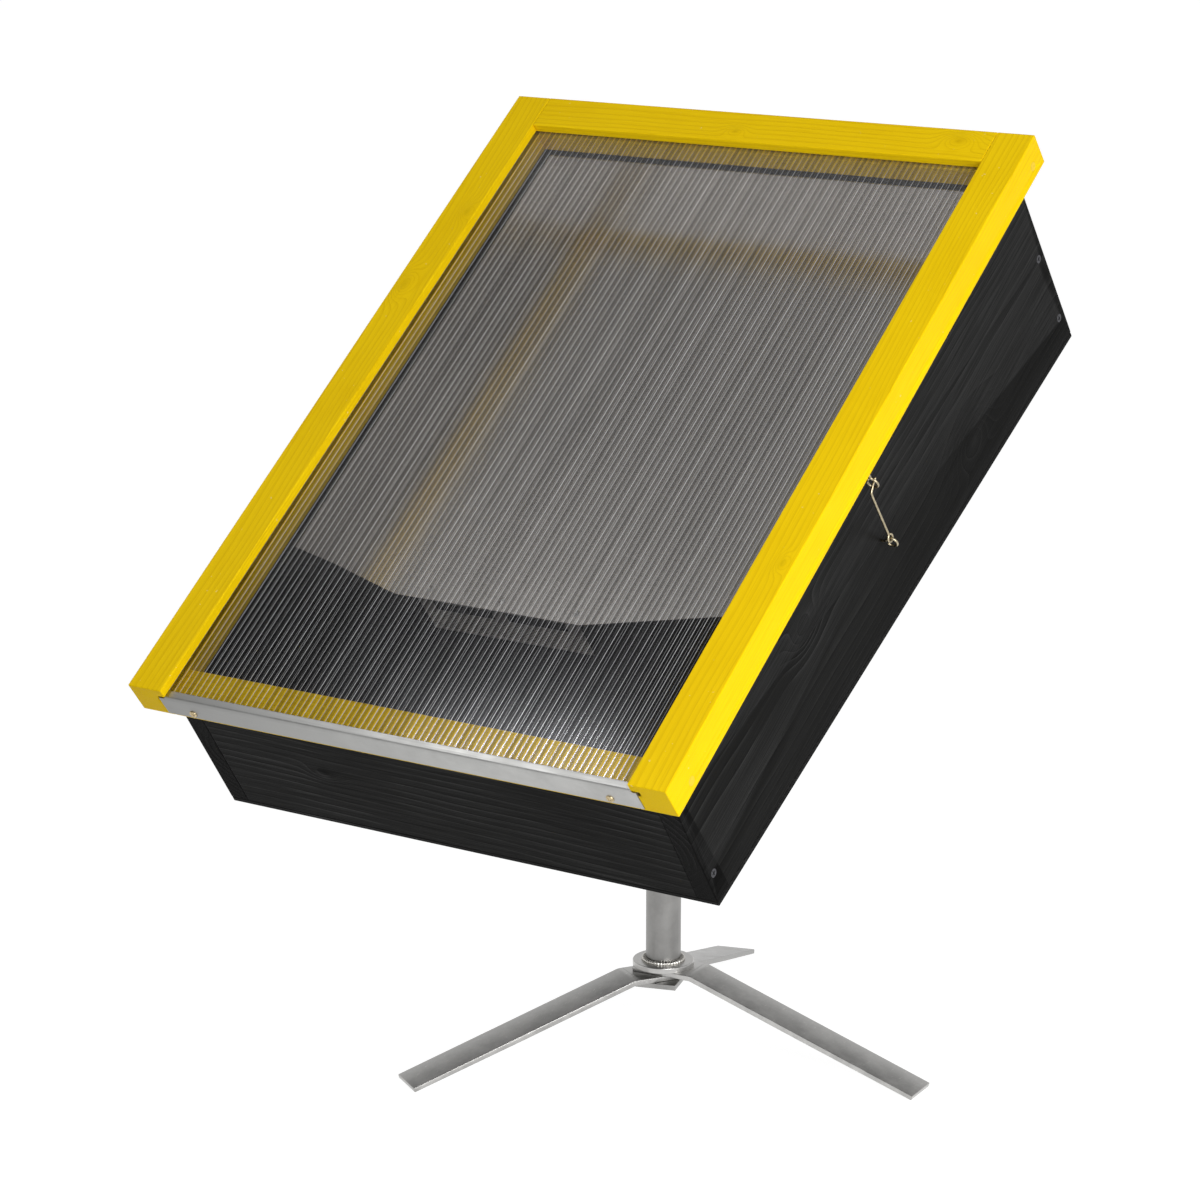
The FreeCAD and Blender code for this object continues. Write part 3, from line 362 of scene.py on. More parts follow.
def lid_place(finish):
    """Object coordinates turned to the lid's axes, with zero at its middle."""
    turned = finish.mapped(turn=(-TILT, 0, 0))
    y = LID_MIDDLE[1] * math.cos(TILT) + LID_MIDDLE[2] * math.sin(TILT)
    z = -LID_MIDDLE[1] * math.sin(TILT) + LID_MIDDLE[2] * math.cos(TILT)
    return finish.mapped(shift=(0, -y, -z), source=turned)


# Which of the lid's axes a board runs along, lies across and is thick in
BOARD_AXES = {"stile": (1, 0, 2), "rail": (0, 1, 2), "side": (1, 2, 0), "end": (0, 2, 1)}


def timber(finish, along, pith, ring, knots, slope, seed):
    """Year rings of a sawn board. The ring number is the distance from the pith, a line beside the
    board that the board leaves slowly, over the ring width. Low noise bends it, and each knot pushes
    it out by a bell of its distance. Returns the place from ring to ring, the fibre and the knots'
    mask."""
    parts = finish.split(lid_place(finish))
    run, cross, depth = (parts[index] for index in BOARD_AXES[along])
    slow = finish.joined(run * 2.2, cross * 7.0, depth * 7.0 + seed)
    warp = (finish.noise(slow, 2.0) - 0.5) * 0.045
    a = cross - pith[0] + run * slope + warp
    b = depth - pith[1]
    radius = finish.math("SQRT", a * a + b * b)
    fibre = finish.noise(finish.joined(run * 14.0, cross * 900.0, depth * 900.0), 2.0, 0.6)
    heart = fibre * 0.0
    for knot_run, knot_cross, size in knots:
        x = (run - knot_run) * 0.6
        y = cross - knot_cross
        square = x * x + y * y
        radius = radius + finish.math("EXPONENT", square * (-1.0 / size ** 2)) * (size * 1.5)
        heart = finish.math("MAXIMUM", heart, finish.math("EXPONENT", square * (-6.0 / size ** 2)))
    return finish.math("FRACT", radius / ring), fibre, heart


def yellow_timber(name, along, pith, knots, colour, seed):
    """Yellow paint over softwood: the latewood shows as faint darker raised lines, knots as stains."""
    finish = Finish(name)
    phase, fibre, heart = timber(finish, along, pith, 0.0027, knots, 0.02, seed)
    line = phase ** 5.0
    deep = shade(colour, (0.88, 0.82, 0.35))
    pale = shade(colour, (1.03, 1.04, 2.0))
    base = finish.mixed(line * 0.75, pale, deep)
    base = finish.mixed(finish.span(fibre, 0.52, 0.66, 0.0, 0.45), base, deep)
    base = finish.mixed(finish.span(finish.cloud(9, 4.0, 0.6), 0.35, 0.75, 0.0, 0.35), base, deep)
    base = finish.mixed(heart * 0.6, base, shade(colour, (0.78, 0.74, 0.8)))
    specks = finish.span(finish.cloud(260, 1.0), 0.77, 0.8, 0.0, 0.5)
    base = finish.mixed(specks, base, (0.85, 0.72, 0.35))
    relief = line * 0.8 + fibre * 0.55 + heart * -1.2
    normal = finish.bump(relief, 0.00022, 0.9, 0.0012)
    return finish.painted(base, finish.span(fibre, 0.3, 0.7, 0.34, 0.46), normal, specular=0.025)


def black_timber(name, along, pith, knots, colour, seed, end=None):
    """Thin black paint over sawn softwood. In patches each year ring gets a pale line, a painted highlight
    on its raised crest, with a dark line of painted shade beside it. Past an end, a plane (normal,
    distance), the paint is darker."""
    finish = Finish(name)
    phase, fibre, heart = timber(finish, along, pith, 0.0062, knots, 0.05, seed)
    patch = finish.span(finish.cloud(9, 2.0), 0.38, 0.62, 0.25, 1.0)
    # Dark tone: real for the fibre and past the end, painted shade beside each ring's crest
    dark_grain_and_shade = shade(colour, 0.35)
    worn = finish.span(finish.cloud(6, 4.0, 0.6), 0.4, 0.8, 0.0, 0.5)
    base = finish.mixed(worn, colour, shade(colour, 1.5))
    base = finish.mixed(finish.span(fibre, 0.5, 0.7) * 0.35, base, dark_grain_and_shade)
    # Painted highlight on each ring's raised crest, then painted shade in the dip beside it, in patches
    base = finish.mixed(phase ** 7.0 * patch, base, shade(colour, 2.7))
    base = finish.mixed((1.0 - phase) ** 7.0 * patch, base, dark_grain_and_shade)
    if end is not None:
        normal, distance = end
        reach = finish.add("ShaderNodeVectorMath", {0: finish.place, 1: normal}, operation="DOT_PRODUCT")
        reach = reach.output("Value")
        base = finish.mixed(finish.span(reach, distance - 0.0012, distance - 0.0006), base, dark_grain_and_shade)
    relief = phase ** 5.0 * patch + fibre * 0.35 + heart * 1.5
    normal = finish.bump(relief, 0.0008, 1.0, 0.001)
    return finish.painted(base, finish.span(fibre, 0.3, 0.7, 0.42, 0.6), normal, specular=0.03)


def steel(name, colour, run, rough, painted_shade_left=1.0):
    """Brushed steel: fine scratches that run along one direction, over faint rolling marks. Its colour may
    be darkened towards its left end, painted shade where less light falls."""
    finish = Finish(name)
    scratch = finish.cloud(tuple(18.0 if share else 1600.0 for share in run), 3.0, 0.6)
    cloud = finish.cloud(28, 5.0, 0.65)
    dark = shade(colour, 0.824)
    base = finish.mixed(finish.span(cloud, 0.3, 0.7), dark, shade(colour, 1.08))
    base = finish.mixed(scratch * 0.25, base, dark)
    # Painted shade: the colour darkens towards the left end, where less light falls
    if painted_shade_left < 1.0:
        left = finish.span(finish.split(finish.place)[0], -0.30, 0.16, 1.0, 0.0)
        base = finish.mixed(left, base, shade(colour, painted_shade_left))
    shine = scratch * 0.16 + finish.span(cloud, 0.3, 0.7, rough - 0.1, rough)
    return finish.painted(base, shine, finish.bump(scratch, 0.00002, 0.6, 0.0006), 1.0)


def tray_sheet(name, colour):
    """Bright rolled sheet, with only a faint rolling grain."""
    finish = Finish(name)
    grain = finish.cloud((12, 900, 900), 2.0)
    base = finish.mixed(finish.span(finish.cloud(7), 0.35, 0.65), shade(colour, 0.94), colour)
    return finish.painted(base, finish.span(grain, 0.3, 0.7, 0.20, 0.24), finish.bump(grain, 0.000004), 0.82)


def leg_steel(name, colour, rough):
    """Mill-finish bar: soft cloudy marks and short random scratches."""
    finish = Finish(name)
    cloud = finish.cloud(45, 6.0, 0.7)
    scuff = finish.noise(finish.mapped((700, 90, 700), (0, 0, 0.5)), 3.0, 0.6)
    base = finish.mixed(finish.span(cloud, 0.3, 0.72), shade(colour, 0.72), colour)
    base = finish.mixed(finish.span(scuff, 0.62, 0.7, 0.0, 0.3), base, (0.8, 0.79, 0.76))
    shine = finish.span(cloud, 0.25, 0.75, rough - 0.08, rough + 0.1)
    return finish.painted(base, shine, finish.bump(scuff + cloud, 0.00005, 0.5, 0.0007), 1.0)


def mottled(name, colour, low, grain, rough, metallic=1.0, relief=0.00004, strength=0.5):
    """Small cloudy metal: its low places darker by a factor and its shine uneven between two levels."""
    finish = Finish(name)
    cloud = finish.cloud(grain, 3.0, 0.6)
    base = finish.mixed(finish.span(cloud, 0.35, 0.65), shade(colour, low), colour)
    shine = finish.span(cloud, 0.3, 0.7, *rough)
    return finish.painted(base, shine, finish.bump(cloud, relief, strength), metallic)


def plain_metal(name, colour, rough, dirt=0.25):
    """Small plated parts, with a little dirt in the low places."""
    return mottled(name, colour, 1 - dirt, 420, (rough - 0.06, rough + 0.08))


def galvanised(name, colour):
    """Dull zinc-coated wire: half its light comes back scattered."""
    return mottled(name, colour, 0.7, 500, (0.35, 0.5), 0.45, 0.00003, 0.4)


def enamel(name, colour):
    """Black enamel with a soft orange-peel surface. On the wax pan the black also stands in for the shade at
    the box's low end, partly painted shade.
    """
    finish = Finish(name)
    peel = finish.cloud(160, 2.0)
    base = finish.mixed(finish.span(peel, 0.3, 0.7, 0.0, 0.4), colour, shade(colour, 1.6))
    return finish.painted(base, 0.5, finish.bump(peel, 0.00002, 0.3), specular=0.03)


def filler(name, colour):
    """Matt filler, a little darker than the paint round it."""
    finish = Finish(name)
    cloud = finish.cloud(300, 4.0, 0.6)
    base = finish.mixed(finish.span(cloud, 0.35, 0.65), shade(colour, 0.9), colour)
    return finish.painted(base, 0.5, finish.bump(cloud, 0.00008))


def rib_places(finish, pitch, first):
    """Distance to the nearest web in pitches, a chance value for that web, one for each third of a
    pitch, a slow change along the rib, and the place along it, all from the lid's u and v."""
    across, along, _ = finish.split(lid_place(finish))
    steps = (across - first) / pitch
    middle = steps + 0.5
    away = finish.math("ABSOLUTE", finish.math("FRACT", middle) - 0.5)
    number = finish.math("FLOOR", middle)
    third = finish.math("FLOOR", steps * 3.0)
    chance, stripe = (
        finish.add("ShaderNodeTexWhiteNoise", {"W": value}, noise_dimensions="1D").output("Value")
        for value in (number, third))
    drift = finish.noise(finish.joined(number * 3.7, along * 4.0, 0.0), 2.0)
    return away, chance, stripe, drift, along


def ribbed_skin(name, tint, pitch, first, haze, painted_glint_share, least, rough):
    """Clear skin of the ribbed sheet. Over each web runs a thin painted highlight, a milky white line that
    stands in for the glint on the moulded fillet, stronger on some webs than on others, and it fades under
    the top rail as painted shadow of the rail. Between the lines the skin lets light through, and throws
    back a little more or less of it from stripe to stripe, most of it where the skin curves into the web.
    Its highest part is a little milky, a painted sheen. The share thrown back is least + (1 - least) * (1 -
    cosine) ** 5."""
    finish = Finish(name)
    away, chance, stripe, drift, along = rib_places(finish, pitch, first)
    # Painted highlight: a milky white line over each web stands in for the glint on its fillet
    line = finish.span(away, 0.030, 0.058, 1.0, 0.0)
    painted_glint_strength = finish.span(chance, 0.0, 1.0, 0.55, 1.0) * finish.span(drift, 0.3, 0.7, 0.7, 1.0)
    # Painted shadow of the top rail: the lines fade under it
    painted_glint_strength = painted_glint_strength * finish.span(along, 0.275, 0.325, 1.0, 0.25)
    # Real haze, the painted highlight lines, and a painted sheen over the top of the sheet
    haze_and_painted_light = line * painted_glint_strength * painted_glint_share + haze + finish.span(along, 0.20, 0.33, 0.0, 0.05)
    matt, lit = (finish.add(kind, {"Color": (0.84, 0.84, 0.85, 1.0)})
                 for kind in ("ShaderNodeBsdfDiffuse", "ShaderNodeBsdfTranslucent"))
    solid = finish.shared(0.25, matt, lit)
    clear = finish.add("ShaderNodeBsdfTransparent", {"Color": (*tint, 1.0)})
    gloss = finish.add("ShaderNodeBsdfGlossy", {"Color": (0.95, 0.96, 1.0, 1.0), "Roughness": rough})
    facing = finish.add("ShaderNodeLayerWeight", {"Blend": 0.5}).output("Facing")
    fillet = finish.span(away, 0.04, 0.14, 2.6, 0.35)
    share = (facing ** 5.0 * (1 - least) + least) * (finish.span(stripe, 0.0, 1.0, 0.7, 1.25) * fillet)
    return finish.done(finish.shared(share, finish.shared(haze_and_painted_light, clear, solid), gloss))


def ribbed_web(name, pitch, first):
    """Upright web between the skins: darker than the skins, and no two alike."""
    finish = Finish(name)
    _, chance, _, drift, _ = rib_places(finish, pitch, first)
    tone = finish.span(chance, 0.0, 1.0, 0.60, 0.76) * finish.span(drift, 0.3, 0.7, 0.85, 1.0)
    colour = finish.add("ShaderNodeCombineColor", {0: tone, 1: tone, 2: tone})
    clear = finish.add("ShaderNodeBsdfTransparent", {"Color": colour})
    gloss = finish.add("ShaderNodeBsdfGlossy", {"Color": (0.9, 0.9, 0.93, 1.0), "Roughness": 0.25})
    return finish.done(finish.shared(0.05, clear, gloss))


def dress(node, material):
    """Give a CAD node a finish on all its faces."""
    piece = frame["nodes"][node]
    piece.data.materials.clear()
    piece.data.materials.append(material)


def coat(piece, material):
    """Give a new piece its finish."""
    piece.data.materials.clear()
    piece.data.materials.append(material)
    return piece


# Sizes and colours that a user would change


def length(name, description, default):
    """Property for a length, in metres."""
    return FloatProperty(name=name, description=description, default=default, unit="LENGTH")


def paint(name, description, default):
    """Property for a colour."""
    return FloatVectorProperty(name=name, description=description, default=default, subtype="COLOR", size=3,
                               min=0, max=1)


class MelterLid(PropertyGroup):
    yellow: paint("Frame paint", "Colour of the lid's paint", (0.85, 0.572, 0.002))
    sheet_tint: paint("Sheet tint", "Colour of light through one skin", (0.955, 0.95, 0.945))
    sheet_haze: FloatProperty(name="Sheet haze", description="Milky share of each skin", min=0, max=0.5,
                              default=0.005, subtype="FACTOR")
    rib_pitch: length("Rib pitch", "Distance between the sheet's ribs", 0.006)
    sheet_half: length("Sheet half width", "From the middle to the sheet's edge", 0.2435)
    sheet_top: length("Sheet depth in lid", "From the lid's face to the sheet's face", -0.009)
    sheet_depth: length("Sheet thickness", "Thickness over both skins", 0.0045)
    sheet_low: length("Sheet low end", "Low end, from the lid's middle", -0.3615)
    sheet_high: length("Sheet high end", "High end, from the lid's middle", 0.3325)
    strip_half: length("Strip half width", "From the middle to the strip's end", 0.242)
    strip_inner: length("Strip notch", "From the middle to the notch for the stile", 0.2365)
    strip_top: length("Strip top", "Top of the strip, from the lid's face", -0.008)
    strip_face: length("Strip face", "Front face down the slope", -0.3625)
    strip_height: length("Strip height", "Height of its face", 0.021)
    strip_flange: length("Strip flange", "Depth of its top", 0.0085)
    strip_bend: length("Strip bend", "Outside radius of its bend", 0.0028)
    ease: length("Eased edges", "Rounding of the timber's edges", 0.0009)


class MelterBox(PropertyGroup):
    black: paint("Box paint", "Colour of the box's paint", (0.0080, 0.0080, 0.0078))
    tray_colour: paint("Tray", "Colour of the tray's sheet", (0.67, 0.65, 0.63))
    mesh_pitch: length("Mesh pitch", "Distance between the strainer's wires", 0.0024)
    mesh_wire: length("Mesh wire", "Diameter of the strainer's wires", 0.0007)
    strainer_left: length("Strainer left", "Left end, from the middle", -0.1215)
    strainer_width: length("Strainer width", "Width of the band", 0.168)
    strainer_low: length("Strainer low edge", "Low edge, from the lid's face", -0.125)
    strainer_band: length("Mesh band", "Height of the mesh band", 0.027)
    strainer_drop: length("Strainer height", "From the low edge to the tray", 0.040)
    strainer_face: length("Strainer place", "Front face up the slope", -0.1647)
    strainer_flange: length("Strainer flange", "Depth of its flange", 0.021)
    strainer_tab: length("Strainer tab", "Width of each tab", 0.014)


class MelterStand(PropertyGroup):
    steel: paint("Stand steel", "Colour of the stand's steel", (0.40, 0.395, 0.385))
    bar_width: length("Bar width", "Width of each leg's bar", 0.038)
    bar_thickness: length("Bar thickness", "Thickness of each leg's bar", 0.005)
    hub_height: length("Hub height", "Height of the topmost bar", 0.077)
    bend_place: length("Bend place", "From the pole's axis to each bend", 0.037)
    foot_flat: length("Foot flat", "Depth that is cut level at each foot", 0.0008)
    bend_radius: length("Bend radius", "Inside radius of each leg's bend", 0.008)
    bead: length("Weld bead", "Size of the weld round the pole", 0.004)
    ripples: IntProperty(name="Weld ripples", description="Ripples round the weld bead", default=44, min=8)


class MelterLatch(PropertyGroup):
    wire: length("Wire", "Diameter of the hook's and the eyes' wire", 0.0022)
    hook_pivot: FloatVectorProperty(name="Hook pivot", description="Place of the pivot in the lid's axes",
                                    size=3, default=(0.262, -0.003, -0.115), unit="LENGTH")
    hook_ring: length("Hook ring", "Radius of the hook's ring", 0.0036)
    kink_depth: length("Kink depth", "Place of the kink below the lid's face", -0.060)
    kink_ahead: length("Kink ahead", "How far the shank leans up the slope", 0.001)
    tip_run: length("Tip run", "Length of the tip up the slope", 0.013)
    tip_rise: length("Tip rise", "Rise of the tip", 0.006)
    eye_ring: length("Eye ring", "Radius of each eye's ring", 0.005)
    lid_eye_ahead: length("Lid eye ahead", "From the pivot up the slope", 0.008)
    lid_eye_depth: length("Lid eye depth", "Ring middle below the lid's face", -0.055)
    side_shank: length("Side shank", "From the side eye's middle to its point", 0.022)
    lid_shank: length("Lid shank", "From the lid eye's middle to its point", 0.035)
    plating: paint("Plating", "Colour of the passivated zinc", (0.50, 0.43, 0.29))


class MelterStage(PropertyGroup):
    azimuth: FloatProperty(name="Camera azimuth", default=34.54,
                           description="Turn of the camera round the object, in degrees")
    elevation: FloatProperty(name="Camera elevation", default=14.04,
                             description="Height of the camera, in degrees")
    lens: FloatProperty(name="Lens", default=109.79,
                        description="Focal length on a 36 mm sensor, in millimetres")
    camera_place: FloatVectorProperty(name="Camera place", description="Where the camera stands",
                                      subtype="XYZ", size=3, default=(1.7466, -2.57536, 1.2109))
    key_light: FloatProperty(name="Key light", description="Power of the lamp from the right", default=36.0)
    overhead_light: FloatProperty(name="Overhead light", description="Power of the small lamp overhead",
                                  default=3.2)
    ambient: FloatProperty(name="Ambient", description="Strength of the studio's even light", default=0.645)


# Operators, one for each piece or group of like pieces


# Each board's kind, place of its pith over its axes, knots (along, across, size) and seed
LID_BOARDS = {
    "lid_stile_left": ("stile", (-0.30, -0.09), ((0.115, -0.262, 0.011), (0.21, -0.246, 0.007)), 1.0),
    "lid_stile_right": ("stile", (0.215, -0.075), ((-0.13, 0.262, 0.006),), 4.0),
    "lid_top_rail": ("rail", (0.40, -0.10), ((0.205, 0.348, 0.010), (-0.02, 0.338, 0.006)), 7.0),
    "lid_bottom_rail": ("rail", (-0.40, -0.08), (), 11.0),
}
BOX_BOARDS = {
    "side_board_right": ("side", (-0.125, 0.205), ((0.155, -0.165, 0.022), (-0.13, -0.085, 0.016)), 2.0),
    "side_board_left": ("side", (-0.11, -0.205), ((0.10, -0.12, 0.018), (-0.2, -0.07, 0.012)), 5.0),
    "front_board": ("end", (-0.30, -0.60), ((-0.12, -0.10, 0.010),), 8.0),
    "rear_board": ("end", (-0.09, 0.42), ((0.10, -0.10, 0.016),), 9.0),
    "bottom_panel": ("rail", (-0.6, -0.5), (), 12.0),
    "mount_board": ("rail", (-0.2, -0.4), (), 13.0),
    "tray_rail_left": ("side", (-0.3, -0.3), (), 14.0),
    "tray_rail_right": ("side", (-0.3, 0.3), (), 15.0),
}


class MELTER_OT_lid_frame(Operator):
    """Paint the lid's four timber members yellow over their grain."""

    bl_idname = "melter.lid_frame"
    bl_label = "Lid frame"

    def execute(self, context):
        colour = tuple(context.scene.melter_lid.yellow)
        ease = context.scene.melter_lid.ease
        for node, (along, pith, knots, seed) in LID_BOARDS.items():
            piece = eased(node, "lid", ease)
            coat(piece, yellow_timber(node + "_paint", along, pith, knots, colour, seed))
        dress("screw_fillers", filler("filled_screw_holes", shade(colour, (0.97, 0.95, 1.2))))
        return {"FINISHED"}


class MELTER_OT_sheet(Operator):
    """Make the clear ribbed sheet: two skins with upright webs between them, as on a ladder."""

    bl_idname = "melter.sheet"
    bl_label = "Ribbed sheet"

    def execute(self, context):
        sizes = context.scene.melter_lid
        pitch = sizes.rib_pitch
        half = sizes.sheet_half
        count = int((2 * half) / pitch) + 1
        first = -(count - 1) / 2 * pitch
        u = np.concatenate(((-half,), first + pitch * np.arange(count), (half,)))
        rows = [lid_points(u, v, n) for v in (sizes.sheet_low, sizes.sheet_high)
                for n in (sizes.sheet_top, sizes.sheet_top - sizes.sheet_depth)]
        many = len(u)
        k = np.arange(many - 1)
        low_top, low_under, high_top, high_under = (row * many for row in range(4))
        top = np.stack((low_top + k, low_top + k + 1, high_top + k + 1, high_top + k), axis=-1)
        under = np.stack((low_under + k, high_under + k, high_under + k + 1, low_under + k + 1), axis=-1)
        near = np.stack((low_top + k, low_under + k, low_under + k + 1, low_top + k + 1), axis=-1)
        far = np.stack((high_top + k, high_top + k + 1, high_under + k + 1, high_under + k), axis=-1)
        w = np.arange(many)
        webs = np.stack((low_top + w, high_top + w, high_under + w, low_under + w), axis=-1)
        faces = np.concatenate((top, under, near, far, webs))
        piece = mesh_piece("ribbed_sheet", np.concatenate(rows), faces.tolist(), "lid", "glazing_sheet",
                           "twin_wall_sheet", smooth=False)
        kinds = np.concatenate([np.full(len(group), kind) for group, kind in
                                ((top, 0), (under, 1), (near, 2), (far, 2), (webs, 2))])
        tint = tuple(sizes.sheet_tint)
        # Each skin's name, share of its painted highlight lines, least share thrown back, and roughness
        for name, painted_glint_share, least, rough in (("ribbed_skin_top", 0.90, 0.040, 0.12),
                                               ("ribbed_skin_under", 0.45, 0.022, 0.16)):
            skin = ribbed_skin(name, tint, pitch, first, sizes.sheet_haze, painted_glint_share, least, rough)
            piece.data.materials.append(skin)
        piece.data.materials.append(ribbed_web("ribbed_webs", pitch, first))
        piece.data.polygons.foreach_set("material_index", kinds.astype(np.int32))
        return {"FINISHED"}


# How far the strip's ends lie below its top, and its screws from the middle and below the lid's face
STRIP_END_DROP = 0.0008
STRIP_SCREW_SPREAD = 0.212
STRIP_SCREW_DEPTH = -0.0235


class MELTER_OT_edge_strip(Operator):
    """Finish the folded strip over the sheet's low edge and its two screws."""

    bl_idname = "melter.edge_strip"
    bl_label = "Edge strip"

    def execute(self, context):
        sizes = context.scene.melter_lid
        half, inner, top, face = sizes.strip_half, sizes.strip_inner, sizes.strip_top, sizes.strip_face
        bend = sizes.strip_bend
        turn = np.linspace(math.pi / 2, math.pi, 9)
        arc = np.stack((np.cos(turn), np.sin(turn)), axis=-1)
        middle = np.array((face + bend, top - bend))
        outer = middle + bend * arc
        inside = middle + (bend - SHEET) * arc
        low = top - sizes.strip_height
        back = face + sizes.strip_flange
        full = np.concatenate((((back, top),), outer, ((face, low), (face + SHEET, low)), inside[::-1],
                               ((back, top - SHEET),)))
        knee = top - STRIP_END_DROP
        ends = np.array(((face, knee), (face, low), (face + SHEET, low), (face + SHEET, knee)))
        parts = []
        for outline, u0, u1 in ((full, -inner, inner), (ends, -half, -inner), (ends, inner, half)):
            rows = [lid_points(u, outline[:, 0], outline[:, 1]) for u in (u0, u1)]
            parts.append((np.concatenate(rows), tube_grid(2, len(outline))))
        # The strip's left end is darkened as painted shade of the light falling off there
        finish = steel("strip_brushed", (0.47, 0.47, 0.46), (1, 0, 0), 0.36, painted_shade_left=0.55)
        closed_piece("folded_strip", parts, "lid", "edge_strip", "strip_metal", finish, sharp=40)
        heads = [screw_head(side * STRIP_SCREW_SPREAD, STRIP_SCREW_DEPTH, face) for side in (-1, 1)]
        finish = plain_metal("strip_screw_brass", (0.62, 0.50, 0.30), 0.28, 0.45)
        closed_piece("strip_screw_heads", heads, "lid", "strip_screws", "fastener_steel", finish, sharp=50)
        dress("lid_corner_screws", plain_metal("corner_screw_zinc", (0.6, 0.6, 0.6), 0.35))
        return {"FINISHED"}


# Outline of a pan-head screw in metres: radius and height, from the shank's point to the crown
SCREW_OUTLINE = ((0.0, 0.016), (0.0012, 0.014), (0.0016, 0.013), (0.0016, 0.001), (0.0036, 0.0002),
                 (0.0037, -0.0002), (0.0035, -0.0008), (0.0030, -0.0013), (0.0024, -0.0016),
                 (0.0018, -0.00175), (0.0012, -0.0018), (0.0007, -0.00182), (0.0003, -0.00183),
                 (0.0, -0.00184))
SCREW_CROWN = 7


def screw_head(u, n, face):
    """Pan-head screw with a cross recess: its outline turned round the v axis. The recess sinks the
    crown by depth * (1 - distance / arm) within half a slot of either arm."""
    radius, height = np.array(SCREW_OUTLINE).T
    angle = np.linspace(0, 2 * math.pi, 48, endpoint=False)
    x = radius[:, None] * np.cos(angle)
    z = radius[:, None] * np.sin(angle)
    near = np.minimum(np.abs(x), np.abs(z))
    along = np.maximum(np.abs(x), np.abs(z))
    sunk = np.where((near < 0.00042) & (along < 0.0021), 0.0011 * (1 - along / 0.0026), 0.0)
    sunk[:SCREW_CROWN] = 0.0
    points = lid_points(u + x, face + height[:, None] + sunk, n + z)
    return points, tube_grid(len(radius), len(angle), caps=False)


class MELTER_OT_box_boards(Operator):
    """Paint the box's boards black over their raised grain."""

    bl_idname = "melter.box_boards"
    bl_label = "Box boards"

    def execute(self, context):
        colour = tuple(context.scene.melter_box.black)
        ease = context.scene.melter_lid.ease
        for node, (along, pith, knots, seed) in BOX_BOARDS.items():
            piece = eased(node, "box", ease)
            end = low_face(node) if node.startswith("side_board") else None
            coat(piece, black_timber(node + "_paint", along, pith, knots, colour, seed, end=end))
        screws = plain_metal("box_screw_painted", (0.10, 0.10, 0.11), 0.45, 0.5)
        for node in ("board_screws", "tray_rail_screws_left", "tray_rail_screws_right"):
            dress(node, screws)
        return {"FINISHED"}


def low_face(node):
    """Plane of that polygon of a board that looks most down the slope, which may also be the wall of a
    screw hole: its normal and its distance from zero."""
    mesh = frame["nodes"][node].data
    face = min(mesh.polygons, key=lambda polygon: np.dot(np.array(polygon.normal), V_AXIS))
    return tuple(face.normal), face.normal.dot(face.center)


class MELTER_OT_tray(Operator):
    """Finish the melting tray and the wax pan."""

    bl_idname = "melter.tray"
    bl_label = "Tray and pan"

    def execute(self, context):
        colour = tuple(context.scene.melter_box.tray_colour)
        dress("melting_tray", tray_sheet("tray_bright_sheet", colour))
        dress("strainer_rivets", plain_metal("rivet_steel", (0.6, 0.6, 0.6), 0.3))
        # The pan is black enamel, and its black also paints the shade at the box's low end
        dress("wax_pan", enamel("pan_enamel_and_painted_shade", (0.012, 0.012, 0.014)))
        return {"FINISHED"}


# Width of the hem round the strainer's mesh
STRAINER_HEM = 0.002


class MELTER_OT_strainer(Operator):
    """Weave the strainer's wire mesh, with its hem, its tabs and the flange under the tray's nose."""

    bl_idname = "melter.strainer"
    bl_label = "Strainer"

    def execute(self, context):
        sizes = context.scene.melter_box
        pitch = sizes.mesh_pitch
        wire = sizes.mesh_wire
        left = sizes.strainer_left
        right = left + sizes.strainer_width
        low = sizes.strainer_low
        high = low + sizes.strainer_band
        top = low + sizes.strainer_drop
        face = sizes.strainer_face
        middle = face + SHEET / 2
        columns = int((right - left - STRAINER_HEM) / pitch)
        rows = int((high - low - STRAINER_HEM) / pitch)
        first_u = (left + right) / 2 - (columns - 1) / 2 * pitch
        first_n = (low + high) / 2 - (rows - 1) / 2 * pitch
        wave = SHEET / 2 - wire / 2
        short = STRAINER_HEM / 4
        parts = []
        along_n = np.linspace(low + short, high - short, rows * 4)
        for column in range(columns):
            swing = wave * np.cos(math.pi * ((along_n - first_n) / pitch + column))
            path = lid_points(first_u + column * pitch, middle + swing, along_n)
            parts.append(wire_tube(path, wire / 2, 5))
        along_u = np.linspace(left + short, right - short, columns * 4)
        for row in range(rows):
            swing = -wave * np.cos(math.pi * ((along_u - first_u) / pitch + row))
            path = lid_points(along_u, middle + swing, first_n + row * pitch)
            parts.append(wire_tube(path, wire / 2, 5))
        closed_piece("strainer_mesh", parts, "box", "strainer", "stainless",
                     galvanised("strainer_wire", (0.62, 0.60, 0.56)))
        back = face + SHEET
        plates = [(left, right, face, back, low, low + STRAINER_HEM),
                  (left, right, face, back, high - STRAINER_HEM, high),
                  (left, left + STRAINER_HEM, face, back, low, high),
                  (right - STRAINER_HEM, right, face, back, low, high),
                  (left, right, face, face + sizes.strainer_flange, top - SHEET, top)]
        step = (right - left - sizes.strainer_tab) / 2
        for k in range(3):
            start = left + k * step
            plates.append((start, start + sizes.strainer_tab, face, back, high - STRAINER_HEM / 2,
                           top - SHEET / 2))
        closed_piece("strainer_frame", [plate(*sides) for sides in plates], "box", "strainer", "stainless",
                     galvanised("strainer_hem", (0.36, 0.35, 0.33)), smooth=False)
        return {"FINISHED"}


def plate(u0, u1, v0, v1, n0, n1):
    """Flat plate between two corners in the lid's axes: a small rounded rectangle carried across u."""
    outline = rounded_rectangle(v1 - v0, n1 - n0, 0.00018, 2)
    v = (v0 + v1) / 2 + outline[:, 0]
    n = (n0 + n1) / 2 + outline[:, 1]
    points = np.concatenate((lid_points(u0, v, n), lid_points(u1, v, n)))
    return points, tube_grid(2, len(outline))


